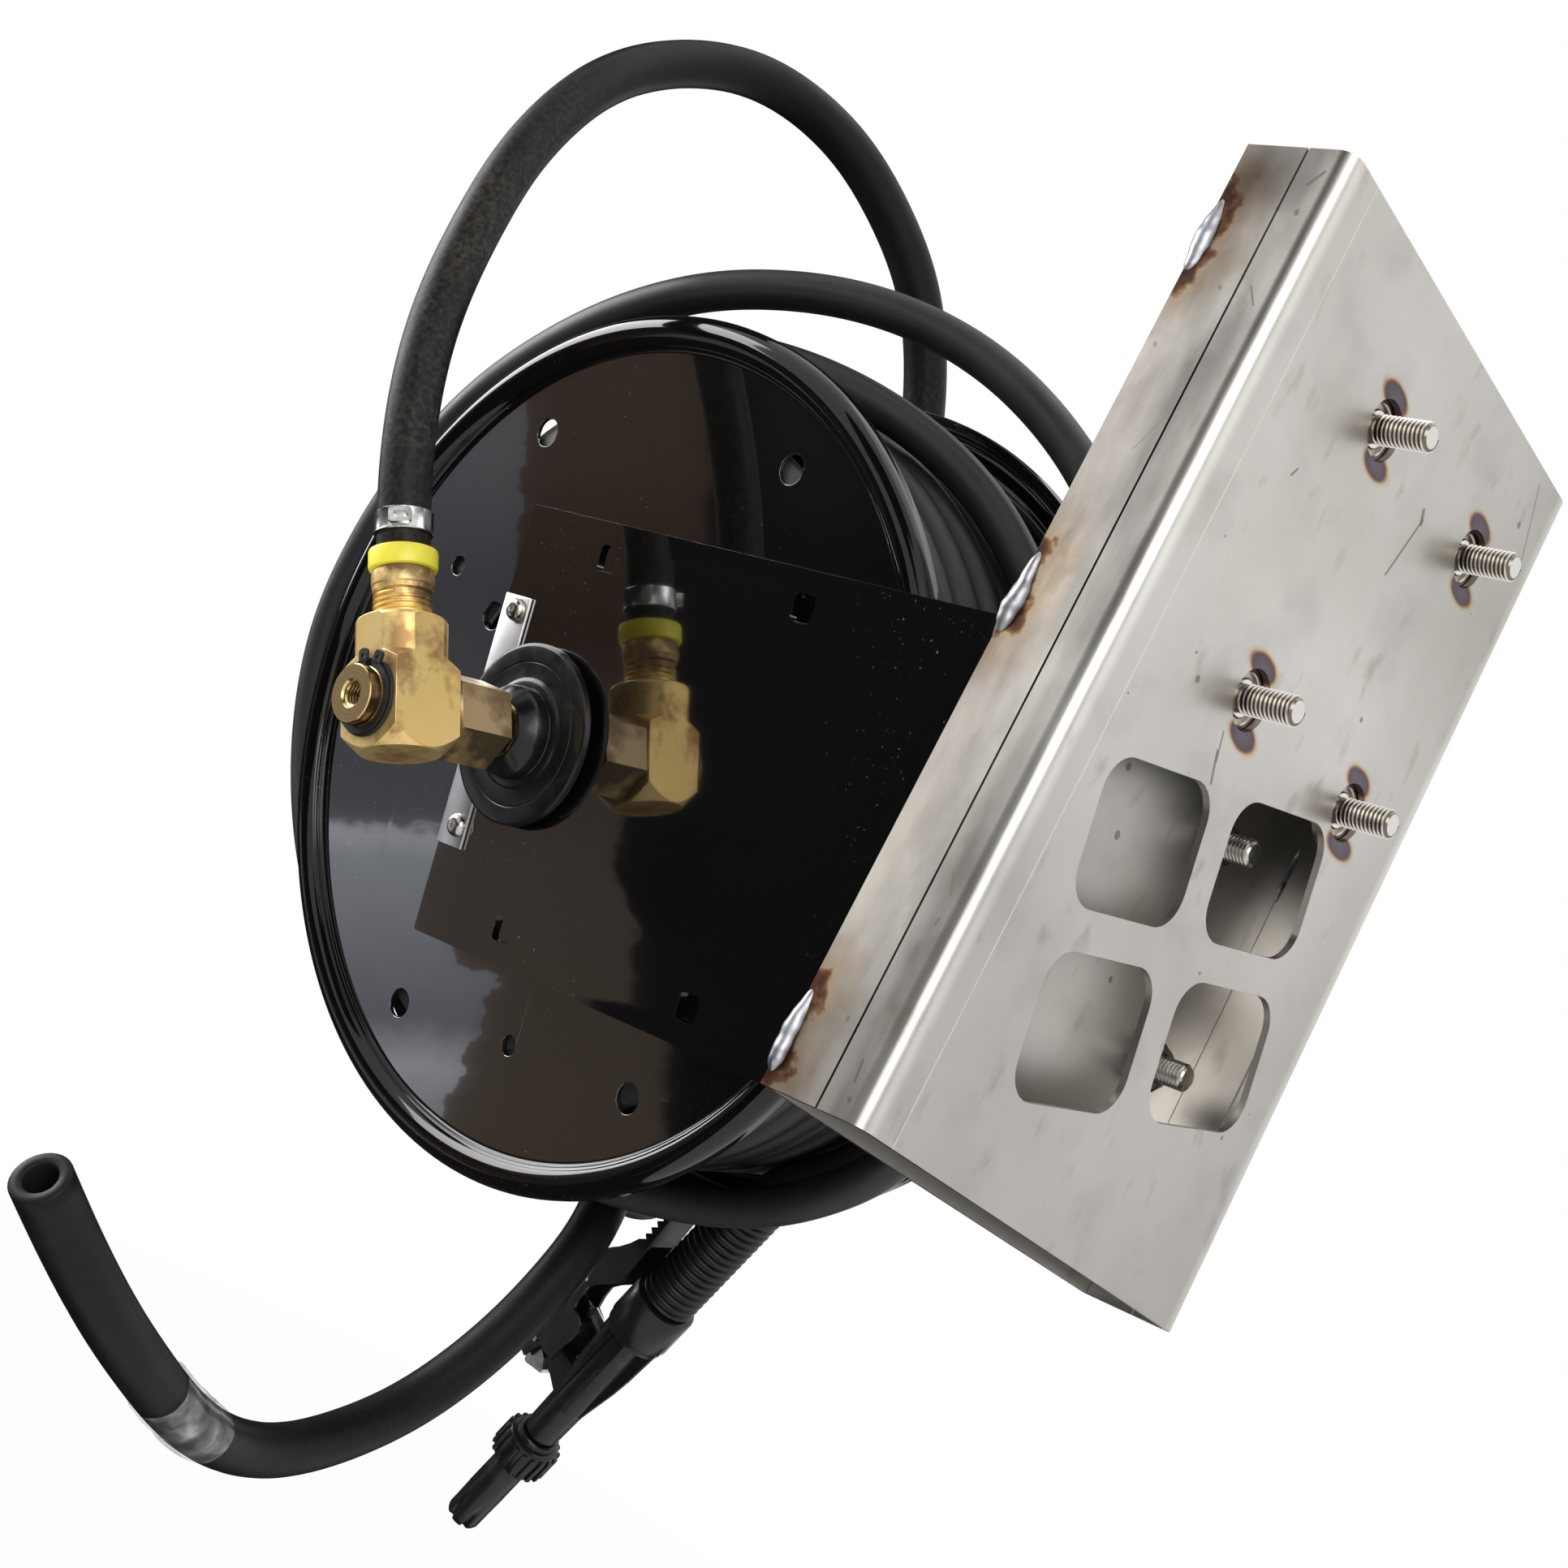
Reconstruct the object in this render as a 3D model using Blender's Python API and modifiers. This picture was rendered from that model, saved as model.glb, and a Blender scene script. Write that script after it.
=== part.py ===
"""Wall hose reel on a stainless mounting box, with supply hose, slack turn and wash gun.

World axes: +X to the reel's inlet side, +Y out of the box into the wall, +Z up the box.
The origin is the centre of the four studs, on the box's outer face.
"""
import math

import bmesh
import bpy
from mathutils import Matrix, Vector

# Driving dimensions, in millimetres and degrees
MM = 0.001
FIT_GAP = 0.3
REEL_TURN = math.radians(17.5)
WINDOW_TURN = math.radians(16.0)

BOX_NEAR, BOX_FAR = 147.5, -106.0
BOX_TOP, BOX_BOTTOM = 122.3, -283.5
BOX_DEPTH = 48.5
BOX_WALL = 3.2
BOX_BEND = 7.5
SEAM_DEPTH = 20.5
SEAM_WIDTH = 1.0

STUD_X, STUD_Z = 50.0, 62.0
STUD_RADIUS = 6.35
STUD_LENGTH = 21.4
STUD_HOLE = 12.6
STUD_FLANGE = 17.0

WINDOW_WIDTH, WINDOW_HEIGHT, WINDOW_CORNER = 73.5, 58.5, 15.0
WINDOW_COLUMNS = (106.0, 14.5)
WINDOW_ROWS = (-111.0, -185.5)

AXIS_Y, AXIS_M = -280.0, -140.0
REEL_MIDDLE = 62.2
UPRIGHT_NEAR = 166.7
UPRIGHT_FAR = 2 * REEL_MIDDLE - UPRIGHT_NEAR
UPRIGHT_EDGE = -321.2
UPRIGHT_HALF = 98.5
UPRIGHT_WALL = 4.0
UPRIGHT_BEND = 7.0
FOOT_LENGTH = 62.0
FOOT_BACK = -BOX_DEPTH - FIT_GAP
FOOT_FRONT = FOOT_BACK - UPRIGHT_WALL
BOLT_INSET_NEAR, BOLT_INSET_FAR = 42.0, 37.5
BOLT_M = (-101.5, -199.0)
BOLT_RADIUS = 6.0
GUIDE_HOLE = 11.4
GUIDE_Y = (-264.7, -147.3)
GUIDE_M = 82.8

DISC_RADIUS = 197.8
DISC_FLAT = 182.5
DISC_WALL = 2.2
DISC_FACE = 134.5
BARREL_RADIUS = 100.0
AXLE_RADIUS = 12.2

HOSE_RADIUS = 9.1
WIND_RADIUS = 172.0
WIND_PITCH = 18.9
WIND_TURNS = 6.25
LOOP_POINTS = 24
SUPPLY_RADIUS = 11.3

SWIVEL_A = 241.0
SWIVEL_TILT = math.radians(23.0)
SWIVEL_HALF = 17.25
SWIVEL_TOP = 36.6
SWIVEL_BOTTOM = -21.0
SHAFT_RADIUS = 12.6

GUN_A, GUN_Y, GUN_M = 30.0, -203.0, -326.0
GUN_TILT = math.radians(148.4)

# Turns that lay a sketch or a turned piece along another axis
ALONG_X = (0, math.pi / 2, 0)
ALONG_Y = (-math.pi / 2, 0, 0)
SKETCH_ON_YZ = (math.pi / 2, 0, math.pi / 2)
SKETCH_ON_XZ = (math.pi / 2, 0, 0)


def clear_scene():
    for old in list(bpy.data.objects):
        bpy.data.objects.remove(old, do_unlink=True)


def new_collection(name):
    made = bpy.data.collections.new(name)
    bpy.context.scene.collection.children.link(made)
    return made


def principled(name, color, roughness, metallic):
    made = bpy.data.materials.new(name)
    made.use_nodes = True
    shader = made.node_tree.nodes["Principled BSDF"]
    shader.inputs["Base Color"].default_value = (*color, 1.0)
    shader.inputs["Roughness"].default_value = roughness
    shader.inputs["Metallic"].default_value = metallic
    return made


clear_scene()
REEL = new_collection("hose_reel")
CUTTERS = new_collection("cutters")

STAINLESS = principled("stainless", (0.62, 0.59, 0.56), 0.32, 1.0)
STUD_STEEL = principled("stud_steel", (0.66, 0.63, 0.60), 0.22, 1.0)
BLACK_PAINT = principled("black_paint", (0.010, 0.010, 0.012), 0.08, 0.0)
BLACK_PLASTIC = principled("black_plastic", (0.016, 0.016, 0.018), 0.35, 0.0)
BLACK_RUBBER = principled("black_rubber", (0.018, 0.018, 0.019), 0.5, 0.0)
BRASS = principled("brass", (0.70, 0.50, 0.20), 0.3, 1.0)
ALUMINIUM = principled("aluminium", (0.75, 0.75, 0.74), 0.35, 1.0)
YELLOW_PLASTIC = principled("yellow_plastic", (0.85, 0.80, 0.05), 0.4, 0.0)
SPRING_STEEL = principled("spring_steel", (0.25, 0.25, 0.27), 0.35, 1.0)


def scaled(points):
    return [tuple(value * MM for value in point) for point in points]


def frame_empty(name, location, rotation, parent=None):
    made = bpy.data.objects.new(name, None)
    REEL.objects.link(made)
    made.parent = parent
    made.location = [value * MM for value in location]
    made.rotation_euler = rotation
    return made


def place(name, mesh, material, parent, location, rotation=(0, 0, 0), smooth=40):
    """Link a mesh as one named piece, with its material and its place."""
    made = bpy.data.objects.new(name, mesh)
    (CUTTERS if material is None else REEL).objects.link(made)
    made.parent = parent
    made.location = [value * MM for value in location]
    made.rotation_euler = rotation
    if material is None:
        made.hide_render = True
        made.display_type = "WIRE"
        return made
    mesh.materials.append(material)
    mesh.shade_smooth()
    mesh.set_sharp_from_angle(angle=math.radians(smooth))
    return made


def finish_mesh(name, shape):
    mesh = bpy.data.meshes.new(name)
    bmesh.ops.recalc_face_normals(shape, faces=shape.faces)
    shape.to_mesh(mesh)
    shape.free()
    return mesh


def block(name, size, centre, material, parent=None, rotation=(0, 0, 0), bevel=0.0):
    """A box with softly broken edges."""
    shape = bmesh.new()
    bmesh.ops.create_cube(shape, size=1.0)
    bmesh.ops.scale(shape, vec=Vector(size) * MM, verts=shape.verts)
    if bevel:
        bmesh.ops.bevel(shape, geom=shape.edges, offset=bevel * MM, segments=1, profile=0.5,
                        affect="EDGES", material=-1)
    return place(name, finish_mesh(name, shape), material, parent, centre, rotation)


def prism(name, radius, length, sides, material, parent, centre, rotation=(0, 0, 0), turn=0.0):
    """A round or many-sided bar, centred on its middle."""
    shape = bmesh.new()
    bmesh.ops.create_cone(shape, cap_ends=True, segments=sides, radius1=radius * MM,
                          radius2=radius * MM, depth=length * MM)
    bmesh.ops.rotate(shape, cent=(0, 0, 0), verts=shape.verts,
                     matrix=Matrix.Rotation(turn, 3, "Z"))
    return place(name, finish_mesh(name, shape), material, parent, centre, rotation)


def turned(name, profile, material, parent, location, rotation=ALONG_X, steps=32, ring=False):
    """Spin a profile of (radius, height), outer side listed from top to bottom."""
    shape = bmesh.new()
    verts = [shape.verts.new((radius * MM, 0, height * MM)) for radius, height in profile]
    ends = zip(verts, verts[1:] + verts[:1]) if ring else zip(verts, verts[1:])
    for first, second in ends:
        shape.edges.new((first, second))
    mesh = bpy.data.meshes.new(name)
    shape.to_mesh(mesh)
    shape.free()
    made = place(name, mesh, material, parent, location, rotation)
    screw = made.modifiers.new("spin", "SCREW")
    screw.steps = steps
    screw.render_steps = steps
    screw.use_merge_vertices = True
    screw.merge_threshold = 0.00001
    screw.use_smooth_shade = False
    return made


def curve_to_mesh(curve_object):
    """Turn a curve object into a welded mesh object at the same place."""
    bpy.context.view_layer.update()
    evaluated = curve_object.evaluated_get(bpy.context.evaluated_depsgraph_get())
    mesh = bpy.data.meshes.new_from_object(evaluated)
    shape = bmesh.new()
    shape.from_mesh(mesh)
    bmesh.ops.remove_doubles(shape, verts=shape.verts, dist=0.00001)
    bmesh.ops.recalc_face_normals(shape, faces=shape.faces)
    shape.to_mesh(mesh)
    shape.free()
    return mesh


def flat(name, outlines, thickness, material, parent, location, rotation=(0, 0, 0)):
    """A plate from closed outlines, the first its edge and the others its holes."""
    curve = bpy.data.curves.new(name, "CURVE")
    curve.dimensions = "2D"
    curve.fill_mode = "BOTH"
    curve.extrude = thickness * MM / 2
    for outline in outlines:
        spline = curve.splines.new("POLY")
        spline.points.add(len(outline) - 1)
        for point, (x, y) in zip(spline.points, outline):
            point.co = (x * MM, y * MM, 0, 1)
        spline.use_cyclic_u = True
    sketch = bpy.data.objects.new(name + "_sketch", curve)
    REEL.objects.link(sketch)
    mesh = curve_to_mesh(sketch)
    bpy.data.objects.remove(sketch, do_unlink=True)
    return place(name, mesh, material, parent, location, rotation)


def tube(name, points, radius, resolution, material, parent):
    """A round rod or hose along a route of points in millimetres."""
    curve = bpy.data.curves.new(name, "CURVE")
    curve.dimensions = "3D"
    curve.bevel_depth = radius * MM
    curve.bevel_resolution = resolution
    curve.use_fill_caps = True
    spline = curve.splines.new("POLY")
    spline.points.add(len(points) - 1)
    for point, place_mm in zip(spline.points, points):
        point.co = (*[value * MM for value in place_mm], 1)
    made = bpy.data.objects.new(name, curve)
    REEL.objects.link(made)
    made.parent = parent
    curve.materials.append(material)
    return made


def arc(centre, radius, start, end, count):
    """Points of an arc in a sketch, from one angle to another in degrees."""
    turns = [math.radians(start + (end - start) * step / count) for step in range(count + 1)]
    return [(centre[0] + radius * math.cos(turn), centre[1] + radius * math.sin(turn))
            for turn in turns]


def rounded_rectangle(width, height, corner, centre=(0, 0), count=4):
    inner_x, inner_y = width / 2 - corner, height / 2 - corner
    outline = []
    for side_x, side_y, start in ((1, 1, 0), (-1, 1, 90), (-1, -1, 180), (1, -1, 270)):
        middle = (centre[0] + side_x * inner_x, centre[1] + side_y * inner_y)
        outline += arc(middle, corner, start, start + 90, count)
    return outline


def boolean(piece, cutter, operation="DIFFERENCE"):
    modifier = piece.modifiers.new(operation.lower(), "BOOLEAN")
    modifier.operation = operation
    modifier.object = cutter


def smooth_route(points, spacing):
    """Points every `spacing` millimetres along a smooth curve through hand-chosen points."""
    knots = [Vector(point) for point in points]
    knots = [2 * knots[0] - knots[1]] + knots + [2 * knots[-1] - knots[-2]]
    dense = []
    for before, start, end, after in zip(knots, knots[1:], knots[2:], knots[3:]):
        for step in range(20):
            t = step / 20
            dense.append(0.5 * (2 * start + (end - before) * t
                                + (2 * before - 5 * start + 4 * end - after) * t ** 2
                                + (3 * start - before - 3 * end + after) * t ** 3))
    dense.append(knots[-2])
    total = sum((b - a).length for a, b in zip(dense, dense[1:]))
    count = max(2, round(total / spacing))
    route, travelled, target = [dense[0]], 0.0, total / count
    for first, second in zip(dense, dense[1:]):
        length = (second - first).length
        while travelled + length >= target - 1e-9 and len(route) < count:
            route.append(first.lerp(second, (target - travelled) / length))
            target += total / count
        travelled += length
    route.append(dense[-1])
    return route, total


# Stainless mounting box: an outer channel, a back plate, two side strips and stitch welds

def box_channel():
    half_bend = BOX_BEND
    inner = BOX_BEND - BOX_WALL
    outline = [(BOX_NEAR, -SEAM_DEPTH)]
    outline += arc((BOX_NEAR - half_bend, -half_bend), BOX_BEND, 0, 90, 5)
    outline += arc((BOX_FAR + half_bend, -half_bend), BOX_BEND, 90, 180, 5)
    outline += [(BOX_FAR, -SEAM_DEPTH), (BOX_FAR + BOX_WALL, -SEAM_DEPTH)]
    outline += arc((BOX_FAR + half_bend, -half_bend), inner, 180, 90, 4)
    outline += arc((BOX_NEAR - half_bend, -half_bend), inner, 90, 0, 4)
    outline += [(BOX_NEAR - BOX_WALL, -SEAM_DEPTH)]
    height = BOX_TOP - BOX_BOTTOM
    channel = flat("box_front_channel", [outline], height, STAINLESS, None,
                   (0, 0, (BOX_TOP + BOX_BOTTOM) / 2))
    window_frame = frame_empty("window_frame", (0, 0, 0), (0, WINDOW_TURN, 0))
    for column in WINDOW_COLUMNS:
        for row in WINDOW_ROWS:
            opening = rounded_rectangle(WINDOW_WIDTH, WINDOW_HEIGHT, WINDOW_CORNER)
            cutter = flat("window_cutter", [opening], 12, None, window_frame,
                          (column, 0, row), SKETCH_ON_XZ)
            boolean(channel, cutter)
    for x in (STUD_X, -STUD_X):
        for z in (STUD_Z, -STUD_Z):
            boolean(channel, prism("stud_hole_cutter", STUD_HOLE, 12, 20, None, None,
                                   (x, 0, z), ALONG_Y))


def box_back():
    width = BOX_NEAR - BOX_FAR - 2 * (BOX_WALL + FIT_GAP)
    middle = (BOX_NEAR + BOX_FAR) / 2
    height = BOX_TOP - BOX_BOTTOM
    centre_z = (BOX_TOP + BOX_BOTTOM) / 2
    plate = block("box_back_plate", (width, BOX_WALL, height),
                  (middle, -BOX_DEPTH + BOX_WALL / 2, centre_z), STAINLESS)
    for a, m in base_bolt_places():
        cutter = prism("bolt_hole_cutter", BOLT_RADIUS + 0.6, 20, 14, None, REEL_FRAME,
                       (a, -BOX_DEPTH, m), ALONG_Y)
        boolean(plate, cutter)
    strip_depth = BOX_DEPTH - SEAM_DEPTH - SEAM_WIDTH
    strip_y = -BOX_DEPTH + strip_depth / 2
    for name, x in (("box_side_strip_near", BOX_NEAR - BOX_WALL / 2),
                    ("box_side_strip_far", BOX_FAR + BOX_WALL / 2)):
        block(name, (BOX_WALL, strip_depth, height), (x, strip_y, centre_z), STAINLESS)


def weld_bead(name, x, z, side):
    """A stitch weld along the box's back corner, a drawn-out half-round drop."""
    shape = bmesh.new()
    bmesh.ops.create_uvsphere(shape, u_segments=8, v_segments=6, radius=1.0)
    bmesh.ops.scale(shape, vec=Vector((2.0, 1.5, 15.5)) * MM, verts=shape.verts)
    for vert in shape.verts:
        vert.co.y = min(vert.co.y, 0.0)
    bmesh.ops.remove_doubles(shape, verts=shape.verts, dist=0.00001)
    place(name, finish_mesh(name, shape), STUD_STEEL, None,
          (x - side * 1.6, -BOX_DEPTH - FIT_GAP, z))


def mounting_stud(name, x, z):
    """A threaded stud set from inside, on a round flange behind an oversize hole."""
    back = -BOX_WALL - FIT_GAP
    profile = [(0, STUD_LENGTH), (STUD_RADIUS - 1.0, STUD_LENGTH),
               (STUD_RADIUS, STUD_LENGTH - 1.0), (STUD_RADIUS, back),
               (STUD_FLANGE, back), (STUD_FLANGE, back - 3.5), (0, back - 3.5)]
    turned(name, profile, STUD_STEEL, None, (x, 0, z), ALONG_Y, steps=16)


# Frame: two bent uprights on the box, four bolts and nuts, and the bearing's parts

REEL_FRAME = frame_empty("reel_frame", (0, 0, 0), (0, REEL_TURN, 0))
INLET_FRAME = frame_empty("inlet_frame", (SWIVEL_A, AXIS_Y, AXIS_M), (SWIVEL_TILT, 0, 0),
                          REEL_FRAME)
GUN_FRAME = frame_empty("gun_frame", (GUN_A, GUN_Y, GUN_M), (GUN_TILT, 0, 0), REEL_FRAME)


def base_bolt_places():
    near, far = UPRIGHT_NEAR - BOLT_INSET_NEAR, UPRIGHT_FAR + BOLT_INSET_FAR
    return [(a, m) for a in (near, far) for m in BOLT_M]


def upright(name, outer, side, slot_width):
    """A bent plate: the wall that carries the bearing, and a foot along the box."""
    wall, bend, inner = UPRIGHT_WALL, UPRIGHT_BEND, UPRIGHT_BEND - UPRIGHT_WALL
    right = [(0, UPRIGHT_EDGE)]
    right += arc((-bend, FOOT_BACK - bend), bend, 0, 90, 4)
    right += [(-FOOT_LENGTH, FOOT_BACK), (-FOOT_LENGTH, FOOT_FRONT)]
    right += arc((-bend, FOOT_BACK - bend), inner, 90, 0, 3)
    right += [(-wall, UPRIGHT_EDGE)]
    outline = [(outer + side * x, y) for x, y in right]
    plate = flat(name, [outline], 2 * UPRIGHT_HALF, BLACK_PAINT, REEL_FRAME, (0, 0, AXIS_M))
    middle = outer - side * wall / 2
    for y in GUIDE_Y:
        for m in (AXIS_M + GUIDE_M, AXIS_M - GUIDE_M):
            hole = rounded_rectangle(GUIDE_HOLE, GUIDE_HOLE, 2.0, count=2)
            boolean(plate, flat("guide_hole_cutter", [hole], 12, None, REEL_FRAME,
                                (middle, y, m), SKETCH_ON_YZ))
    boolean(plate, prism("bearing_cutter", slot_width, 12, 24, None, REEL_FRAME,
                         (middle, AXIS_Y, AXIS_M), ALONG_X))
    for a, m in base_bolt_places():
        if (a - REEL_MIDDLE) * side > 0:
            boolean(plate, prism("foot_hole_cutter", BOLT_RADIUS + 0.6, 16, 14, None, REEL_FRAME,
                                 (a, FOOT_FRONT, m), ALONG_Y))
    return plate


def uprights():
    near = upright("near_upright", UPRIGHT_NEAR, 1, BUSH_NECK + 0.5)
    slot_length = AXIS_Y - UPRIGHT_EDGE + 10
    boolean(near, block("slot_cutter", (12, slot_length, 2 * (BUSH_NECK + 0.5)),
                        (UPRIGHT_NEAR - UPRIGHT_WALL / 2, AXIS_Y - slot_length / 2, AXIS_M),
                        None, REEL_FRAME))
    for y, m in STRIP_SCREWS:
        boolean(near, prism("screw_hole_cutter", 2.8, 12, 10, None, REEL_FRAME,
                            (UPRIGHT_NEAR - UPRIGHT_WALL / 2, y, m), ALONG_X))
    upright("far_upright", UPRIGHT_FAR, -1, ARBOR_RADIUS + 0.4)


def base_fastener(number, a, m):
    head = FOOT_FRONT - FIT_GAP
    tip = -BOX_DEPTH + BOX_WALL + 23.0
    profile = [(0, tip), (BOLT_RADIUS - 1, tip), (BOLT_RADIUS, tip - 1), (BOLT_RADIUS, head),
               (10.5, head), (9.5, head - 4.5), (5.0, head - 6.5), (0, head - 6.5)]
    turned(f"base_bolt_{number}", profile, STUD_STEEL, REEL_FRAME, (a, 0, m), ALONG_Y, steps=14)
    nut_depth = 9.0
    nut = prism(f"base_nut_{number}", 10.6, nut_depth, 6, STUD_STEEL, REEL_FRAME,
                (a, -BOX_DEPTH + BOX_WALL + FIT_GAP + nut_depth / 2, m), ALONG_Y)
    boolean(nut, prism("nut_bore_cutter", BOLT_RADIUS + 0.6, 40, 14, None, REEL_FRAME,
                       (a, -BOX_DEPTH, m), ALONG_Y))


STRIP_Y, STRIP_WIDTH, STRIP_LENGTH, STRIP_WALL = -312.5, 17.0, 115.0, 1.4
STRIP_SCREWS = ((-310.8, AXIS_M + 51.2), (-309.4, AXIS_M - 47.6))
BUSH_NECK, BUSH_FLANGE, BUSH_BOSS = 22.0, 40.3, 20.5
BUSH_BACK, FLANGE_BACK, FLANGE_FRONT, BOSS_FRONT = 158.0, 170.2, 174.4, 188.3
AXLE_END = 186.0
ARBOR_RADIUS = 12.0


def bearing_parts():
    """The flanged plastic bush in its slot, and the strip that closes the slot."""
    bore = AXLE_RADIUS + 0.4
    profile = [(bore, BOSS_FRONT - 1.2), (13.2, BOSS_FRONT), (14.6, BOSS_FRONT),
               (BUSH_BOSS, BOSS_FRONT - 6), (BUSH_BOSS, FLANGE_FRONT + 2.4),
               (BUSH_BOSS - 1, FLANGE_FRONT + 1.6), (BUSH_BOSS - 1, FLANGE_FRONT + 0.8),
               (23.4, FLANGE_FRONT + 0.8), (24.2, FLANGE_FRONT),
               (BUSH_FLANGE - 1.6, FLANGE_FRONT), (BUSH_FLANGE, FLANGE_FRONT - 1.6),
               (BUSH_FLANGE, FLANGE_BACK), (BUSH_NECK, FLANGE_BACK), (BUSH_NECK, BUSH_BACK),
               (bore, BUSH_BACK)]
    turned("hub_bush", profile, BLACK_PLASTIC, REEL_FRAME, (0, AXIS_Y, AXIS_M), steps=28,
           ring=True)
    front = UPRIGHT_NEAR + FIT_GAP
    strip = block("retaining_strip", (STRIP_WALL, STRIP_WIDTH, STRIP_LENGTH),
                  (front + STRIP_WALL / 2, STRIP_Y, AXIS_M), ALUMINIUM, REEL_FRAME)
    for number, (y, m) in enumerate(STRIP_SCREWS, 1):
        boolean(strip, prism("strip_hole_cutter", 2.8, 12, 10, None, REEL_FRAME,
                             (front, y, m), ALONG_X))
        seat = front + STRIP_WALL + FIT_GAP
        profile = [(1.6, seat + 1.2), (1.6, seat + 3.2), (3.0, seat + 3.2), (4.6, seat + 2.0),
                   (5.3, seat), (2.5, seat), (2.5, UPRIGHT_NEAR - UPRIGHT_WALL - 5),
                   (0, UPRIGHT_NEAR - UPRIGHT_WALL - 5)]
        turned(f"strip_screw_{number}", [(0, seat + 1.2)] + profile, STUD_STEEL, REEL_FRAME,
               (0, y, m), steps=12)


def arbor_and_pawl():
    """The far side's fixed arbor, which the spring pulls on, and the ratchet pawl's pin."""
    flange = UPRIGHT_FAR + UPRIGHT_WALL + FIT_GAP
    profile = [(0, 44), (ARBOR_RADIUS, 44), (ARBOR_RADIUS, flange + 4), (18, flange + 4),
               (18, flange), (ARBOR_RADIUS, flange), (ARBOR_RADIUS, UPRIGHT_FAR - 14),
               (0, UPRIGHT_FAR - 14)]
    turned("spring_arbor", profile, STUD_STEEL, REEL_FRAME, (0, AXIS_Y, AXIS_M), steps=20)
    nut = prism("arbor_nut", 20.0, 9.0, 6, STUD_STEEL, REEL_FRAME,
                (UPRIGHT_FAR - FIT_GAP - 4.5, AXIS_Y, AXIS_M), ALONG_X)
    boolean(nut, prism("arbor_nut_cutter", ARBOR_RADIUS + FIT_GAP, 20, 20, None, REEL_FRAME,
                       (UPRIGHT_FAR, AXIS_Y, AXIS_M), ALONG_X))
    inside = UPRIGHT_FAR + UPRIGHT_WALL + FIT_GAP
    profile = [(0, RATCHET_OUT + 4.0), (4.0, RATCHET_OUT + 4.0), (4.0, inside + 4),
               (7.0, inside + 4), (7.0, inside), (0, inside)]
    turned("pawl_pin", profile, STUD_STEEL, REEL_FRAME,
           (0, AXIS_Y + PAWL_Y, AXIS_M + PAWL_M), steps=12)
    points = []
    for step in range(3 * 8 + 1):
        turn = 2 * math.pi * step / 8
        points.append((inside + 7.5 + 2.0 * step / 8, AXIS_Y + PAWL_Y + 6.0 * math.cos(turn),
                       AXIS_M + PAWL_M + 6.0 * math.sin(turn)))
    tube("pawl_spring", points, 0.7, 1, SPRING_STEEL, REEL_FRAME)


# Spool: discs, barrel, wound hose, axle, spring case with its spring, and ratchet

SPOOL = frame_empty("spool_axis", (0, AXIS_Y, AXIS_M), (0, 0, 0), REEL_FRAME)
RATCHET_OUT = 2 * REEL_MIDDLE - DISC_FACE - FIT_GAP - 4.0
PAWL_Y, PAWL_M = -24.0, 72.0


def disc(name, face, side):
    """A pressed disc with a rolled rim, punched for lightness."""
    roll = (DISC_RADIUS - DISC_FLAT) / 2
    middle = DISC_RADIUS - roll
    inner = roll - DISC_WALL
    profile = [(13.4, 0.0)] + arc((middle, 0.0), roll, 180, 0, 5)
    profile += [(DISC_RADIUS, -3.5), (DISC_RADIUS - DISC_WALL, -3.5)]
    profile += arc((middle, 0.0), inner, 0, 180, 3)
    profile += [(middle - inner, -DISC_WALL), (13.4, -DISC_WALL)]
    placed = [(radius, face + side * height) for radius, height in profile]
    if side < 0:
        placed.reverse()
    made = turned(name, placed, BLACK_PAINT, SPOOL, (0, 0, 0), steps=32, ring=True)
    turn = math.radians(2.0)
    holes = [(158.5, angle, 6.3) for angle in (60, 120, 240, 300)]
    holes += [(97.0, angle, 6.3) for angle in (150, 30, 270)]
    holes += [(136.0, angle, 4.2) for angle in (150, 30, 270)]
    for radius, angle, size in holes:
        around = math.radians(angle) + turn
        boolean(made, prism("disc_hole_cutter", size, 12, 12, None, SPOOL,
                            (face, radius * math.cos(around), radius * math.sin(around)),
                            ALONG_X))


def spool_body():
    near_face, far_face = DISC_FACE, 2 * REEL_MIDDLE - DISC_FACE
    disc("near_disc", near_face, 1)
    disc("far_disc", far_face, -1)
    high = near_face - DISC_WALL - FIT_GAP
    low = far_face + DISC_WALL + FIT_GAP
    wall = 2.5
    turned("drum_barrel", [(BARREL_RADIUS - wall, high), (BARREL_RADIUS, high),
                           (BARREL_RADIUS, low), (BARREL_RADIUS - wall, low)],
           BLACK_PAINT, SPOOL, (0, 0, 0), ring=True)
    core = WIND_RADIUS * math.cos(math.pi / LOOP_POINTS) - HOSE_RADIUS - 0.4
    turned("hose_inner_layers", [(BARREL_RADIUS + FIT_GAP, high), (core, high), (core, low),
                                 (BARREL_RADIUS + FIT_GAP, low)],
           BLACK_RUBBER, SPOOL, (0, 0, 0), ring=True)
    flange = near_face + FIT_GAP
    profile = [(6.2, AXLE_END), (AXLE_RADIUS, AXLE_END), (AXLE_RADIUS, flange + 4), (30, flange + 4),
               (30, flange), (12.9, flange), (12.9, high - 8), (6.2, high - 8)]
    turned("near_axle", profile, STUD_STEEL, SPOOL, (0, 0, 0), steps=20, ring=True)
    profile = [(ARBOR_RADIUS + 0.4, 8), (20, 8), (20, low + 4), (13.0, low), (13.0, far_face - 3),
               (ARBOR_RADIUS + 0.4, far_face - 3)]
    turned("far_bush", profile, BLACK_PLASTIC, SPOOL, (0, 0, 0), steps=20, ring=True)
    case = [(20.6, 46), (90, 46), (90, low), (87, low), (87, 43), (20.6, 43)]
    turned("spring_case", case, BLACK_PAINT, SPOOL, (0, 0, 0), steps=24, ring=True)
    riser()


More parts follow.
